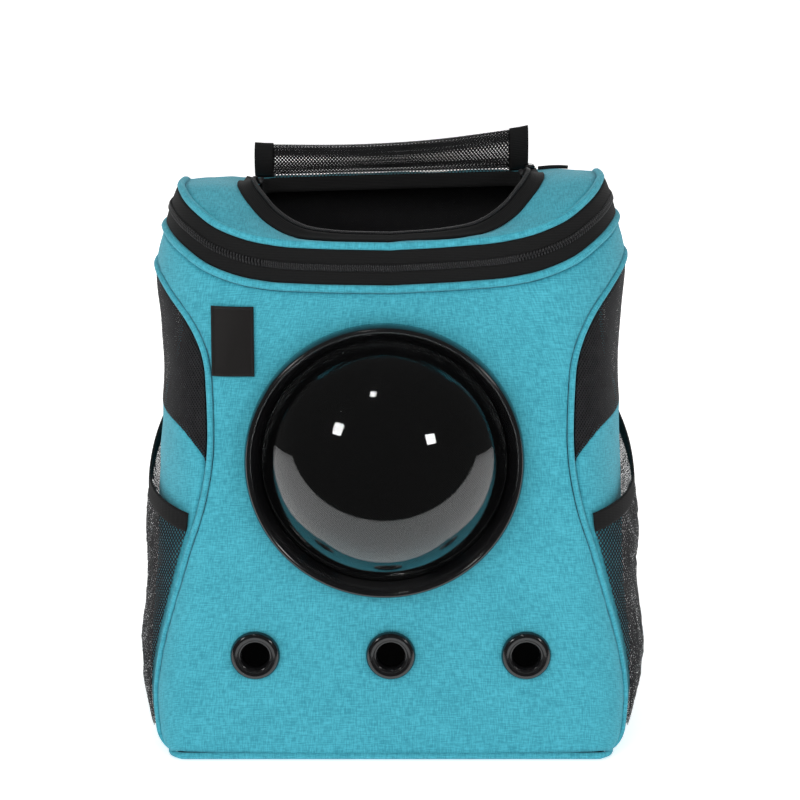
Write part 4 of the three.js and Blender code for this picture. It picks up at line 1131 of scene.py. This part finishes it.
def cap(radius, height):
    ball = (radius**2 + height**2) / (2 * height)
    half = math.asin(radius / ball)
    turns = [half * i / 40 for i in range(41)]
    return [(ball * math.sin(t), DOME_SEAT + height - ball * (1 - math.cos(t))) for t in turns]


back = -WALL - 2 * GAP
inside = DOME_RADIUS - DOME_THICK
dome = cap(DOME_RADIUS, DOME_PROUD) + [
    (DOME_RADIUS, back),
    (BUBBLE_HOLE + DOME_FLANGE, back),
    (BUBBLE_HOLE + DOME_FLANGE, back - DOME_THICK),
    (inside, back - DOME_THICK),
]
dome += reversed(cap(inside, DOME_PROUD - DOME_THICK))
piece("bubble_window", spun(dome, BUBBLE_ACROSS, BUBBLE_HEIGHT), [CLEAR], ["bubble_dome"])

# Vents: three glossy black eyelets, spun over both faces of the front panel.
VENT_RADIUS, VENT_BORE, VENT_PROUD = 18.8, 10, 5
VENT_COLLAR, VENT_BACK = 3, 2

neck = VENT_HOLE - GAP
lip = []
for i in range(9):
    turn = math.pi / 2 * i / 8
    lip.append((VENT_RADIUS - 3 + 3 * math.cos(turn), GAP + (VENT_PROUD - GAP) * math.sin(turn)))
eyelet = [
    (VENT_BORE, -WALL - VENT_BACK),
    (VENT_HOLE + VENT_COLLAR, -WALL - VENT_BACK),
    (VENT_HOLE + VENT_COLLAR, -WALL - GAP),
    (neck, -WALL - GAP),
    (neck, GAP),
    *lip,
    (VENT_HOLE + 1.2, VENT_PROUD),
    (VENT_HOLE - 0.2, VENT_PROUD - 0.8),
    (VENT_HOLE - 0.9, VENT_PROUD - 0.4),
    (VENT_HOLE - 1.9, VENT_PROUD - 1.4),
    (VENT_BORE + 0.3, 0.3 * VENT_PROUD),
    (VENT_BORE, 0.1 * VENT_PROUD),
]
for place, across in zip(("left", "middle", "right"), VENT_ACROSS):
    piece("eyelet_" + place, spun(eyelet, across, VENT_HEIGHT, 72), [GLOSS], ["vent_" + place])

# Label: a blank moulded rubber patch with a raised rim, sewn on the front's upper left.
LABEL_WIDTH, LABEL_HEIGHT, LABEL_THICK = 31, 54, 2
LABEL_ACROSS, LABEL_MIDDLE = 115, 326
RIM = 1.6

RUBBER = moulded("black_rubber", (0.008, 0.0065, 0.006), 0.6, 0.12)


def station_of(across, height):
    wide, corner, _ = read(PLANS, height / FRONT_HEIGHT)
    corner *= HALF_WIDTH
    flat = wide * HALF_WIDTH - corner
    return across / flat if across <= flat else 1 + math.asin((across - flat) / corner) * 2 / math.pi


def label_place(across, up):
    height = LABEL_MIDDLE + (up - 0.5) * LABEL_HEIGHT
    station = station_of(LABEL_ACROSS - (across - 0.5) * LABEL_WIDTH, height)
    edge = min(across * LABEL_WIDTH, (1 - across) * LABEL_WIDTH, up * LABEL_HEIGHT, (1 - up) * LABEL_HEIGHT)
    rim = 0.5 * ease((edge - 0.1) / 0.4) - 0.55 * ease((edge - RIM) / 0.5)
    return -station, climb_to(station, height), GAP + LABEL_THICK - 0.5 + rim


mesh = bmesh.new()
skin_grid(mesh, 62, 108, label_place)
piece("rubber_patch", mesh, [RUBBER], ["label"], LABEL_THICK)

# Base: the stiff teal board that the bag stands on.
BASE_THICK = 4
SEWN_IN = 2.2

base_points = []
for station in (i / 12 for i in range(-48, 49)):
    x, y, nx, ny = plan(station, 0)
    pipe = on_skin(station, climb_to(station, PIPING + GAP))
    behind_piping = math.hypot(pipe.x - x, pipe.y - y) + PIPING + PIPING_SUNK + GAP
    behind_gusset = foot_radius(station) + 5 * GAP
    inset = blend(behind_piping, behind_gusset, ease((abs(station) - 1.1) / 0.3)) - SEWN_IN
    rear = BACK + BACK_PROUD - BACK_THICK - GAP
    base_points.append(Vector((x - nx * inset, min(y - ny * inset, rear), 0)) * MM)
mesh = bmesh.new()
weave = mesh.loops.layers.uv.new("weave")
board = mesh.faces.new([mesh.verts.new(p) for p in base_points])
lifted = bmesh.ops.extrude_face_region(mesh, geom=[board])
top = [v for v in lifted["geom"] if isinstance(v, bmesh.types.BMVert)]
bmesh.ops.translate(mesh, vec=(0, 0, BASE_THICK * MM), verts=top)
bmesh.ops.recalc_face_normals(mesh, faces=mesh.faces)
lay_weave(mesh.faces, weave, lambda vert: vert.co.xy)
for face in mesh.faces:
    face.material_index = int(face.normal.z > 0.5)
piece("floor_board", mesh, [TEAL, LINING], ["base_board"], smooth=False)

# Back: a padded black slab against the wearer, quilted in three channels.
BACK_CORNER = 8

PADDING = plain_cloth("padded_net", (0.008, 0.008, 0.0085), size=0.0022, depth=0.0005)
back_half = BACK_FLAT - 2 * GAP
back_top = climb_to(4, 0) + FRONT_HEIGHT + SIDE_RISE * read(RISES, 4)[0] + LID_EDGE + PIPING


mesh = bmesh.new()
weave = mesh.loops.layers.uv.new("weave")
made = bmesh.ops.create_grid(mesh, x_segments=72, y_segments=104, size=0.5)["verts"]
for vert in made:
    u, v = vert.co.x * 2, vert.co.y * 2
    x, z = u * back_half, GAP + (v + 1) / 2 * (back_top - GAP)
    edge = min(back_half - abs(x), z - GAP, back_top - z)
    round_off = BACK_CORNER * 0.6 * (1 - ease(edge / BACK_CORNER))
    channel = sum(math.exp(-(((x - c) / 3.5) ** 2)) for c in (-48, 48)) * ease((edge - 10) / 20)
    dimple = 1.6 * channel + round_off + 0.3 + 0.35 * ripple(x, z, 30, 12)
    vert.co = Vector((x, BACK + BACK_PROUD - dimple, z)) * MM
bmesh.ops.reverse_faces(mesh, faces=mesh.faces)
front_side = bmesh.ops.extrude_face_region(mesh, geom=mesh.faces[:])
for made in front_side["geom"]:
    if isinstance(made, bmesh.types.BMVert):
        made.co.y = (BACK + BACK_PROUD - BACK_THICK) * MM
bmesh.ops.recalc_face_normals(mesh, faces=mesh.faces)
lay_weave(mesh.faces, weave, lambda vert: vert.co.xz)
slab = piece("back_pad", mesh, [PADDING], ["back_panel"])

# Shoulder straps: padded black bands sewn to the back, with webbing from their lower ends to its foot.
STRAP_WIDTH, STRAP_THICK, STRAP_OUT = 62, 10, 44
STRAP_TOP, STRAP_ACROSS = 374, 96
WEBBING_WIDTH, WEBBING_THICK = 25, 2
STRAP = [
    (0, 0, 1, 0.6, 1),
    (1, 0.06, 0.93, 0.6, 1),
    (2, 0.36, 0.86, 0.61, 1),
    (3, 0.8, 0.74, 0.65, 1),
    (4, 1, 0.58, 0.73, 0.95),
    (5, 0.88, 0.42, 0.84, 0.8),
    (6, 0.6, 0.3, 0.92, 0.65),
]
WEBBING = [(0, 0.6, 0.3, 0.92), (1, 0.3, 0.18, 0.97), (2, 0.02, 0.09, 1), (3, 0, 0.04, 1)]

WEBBING_CLOTH = plain_cloth("webbing", (0.007, 0.007, 0.0075), size=0.0014, depth=0.0004, ribs=0.0018)
back_face = BACK + BACK_PROUD + GAP


def band(points, wide_way, width, thick, puff=0.0, cols=12):
    """A flat band along points: its outline runs round a rounded section, fuller by puff at its middle."""
    count = len(points)
    rows = []
    for i, point in enumerate(points):
        way = (points[min(i + 1, count - 1)] - points[max(i - 1, 0)]).normalized()
        wide = (wide_way - way * way.dot(wide_way)).normalized()
        out = way.cross(wide)
        w = (width[i] if isinstance(width, list) else width) / 2
        row = []
        for j in range(4 * cols + 1):
            turn = 2 * math.pi * j / (4 * cols)
            c, s = math.cos(turn), math.sin(turn)
            a = math.copysign(abs(c) ** 0.35, c) * w
            b = math.copysign(abs(s) ** 0.55, s) * (thick / 2 + puff * (1 - abs(a / w) ** 2))
            row.append(point + wide * a + out * b)
        rows.append(row)
    mesh = strip_of(rows, lambda i, j: (i * width_step(width, cols), j * 0.003))
    bmesh.ops.remove_doubles(mesh, verts=mesh.verts, dist=0.00001)
    bmesh.ops.holes_fill(mesh, edges=[e for e in mesh.edges if e.is_boundary], sides=0)
    bmesh.ops.recalc_face_normals(mesh, faces=mesh.faces)
    return mesh


def width_step(width, cols):
    return (max(width) if isinstance(width, list) else width) * 2 * MM / (4 * cols)


def strap_point(sign, out, up, across, thick):
    x, y = sign * across * STRAP_ACROSS, back_face + thick / 2 + out * STRAP_OUT
    return Vector((x, y, up * STRAP_TOP))


SIDEWAYS, UPWARDS = Vector((1, 0, 0)), Vector((0, 0, 1))
for side, sign in SIDES:
    table = [read(STRAP, 6 * i / 90) for i in range(91)]
    pad_points = [strap_point(sign, out, up, across, STRAP_THICK) for out, up, across, _ in table]
    widths = [wide * STRAP_WIDTH for *_, wide in table]
    strap = band(pad_points, SIDEWAYS, widths, STRAP_THICK - 2, 0.8, 8)
    pad = piece("strap_pad_" + side, strap, [PADDING], ["shoulder_strap_" + side])
    table = [read(WEBBING, 3 * i / 45) for i in range(46)]
    tape = [strap_point(sign, *row, WEBBING_THICK) for row in table]
    start = pad_points[-1]
    tape = [p for p in tape if (p - start).length > 3]
    webbing = band(tape, SIDEWAYS, WEBBING_WIDTH, WEBBING_THICK, 0, 6)
    piece("webbing_" + side, webbing, [WEBBING_CLOTH], ["strap_webbing_" + side])

# Grab handle: a loop of doubled webbing between the straps.
HANDLE_HALF, HANDLE_OUT, HANDLE_HEIGHT = 62, 24, 392
HANDLE_WIDTH, HANDLE_THICK = 26, 4
HANDLE = [(-1, 0), (-0.8, 0.03), (-0.5, 0.75), (0, 1), (0.5, 0.75), (0.8, 0.03), (1, 0)]

handle_points = []
for i in range(61):
    at = blend(-1, 1, i / 60)
    out = max(read(HANDLE, at)[0], 0) * HANDLE_OUT
    handle_points.append(Vector((at * HANDLE_HALF, back_face + HANDLE_THICK / 2 + out, HANDLE_HEIGHT)))
handle = band(handle_points, UPWARDS, HANDLE_WIDTH, HANDLE_THICK, 0, 6)
piece("carry_handle", handle, [WEBBING_CLOTH], ["grab_handle"])

# Slider of the mouth's zip at its right end, moulded black, with a cord to pull it by.
SLIDER_LENGTH, SLIDER_WIDTH, SLIDER_THICK = 13, 8, 3
PULL_LENGTH, PULL_RADIUS = 24, 1.5

slider_across = MOUTH_HALF + EDGING_WIDTH / 2
slider_lift = EDGING_THICK + 6 * GAP + SLIDER_THICK / 2
slider_points = [on_lid(slider_across, EDGING_END - t * SLIDER_LENGTH / 10, slider_lift) for t in range(11)]
slider_widths = [SLIDER_WIDTH * (0.75 + 0.25 * math.cos(math.pi * t / 5)) for t in range(11)]
slider = band(slider_points, SIDEWAYS, slider_widths, SLIDER_THICK, 0.3, 6)
piece("slider_body", slider, [GLOSS], ["zip_slider"])
pull_start = MOUTH_HALF + EDGING_WIDTH + PULL_RADIUS
pull_points = []
for i in range(25):
    t = i / 24
    x, y = pull_start + t * PULL_LENGTH, EDGING_END - SLIDER_LENGTH / 2 + 4 * t
    pull_points.append(on_lid(x, y, PULL_RADIUS + GAP))
cord("slider_cord", pull_points, PULL_RADIUS, WEBBING_CLOTH, ["zip_pull"])
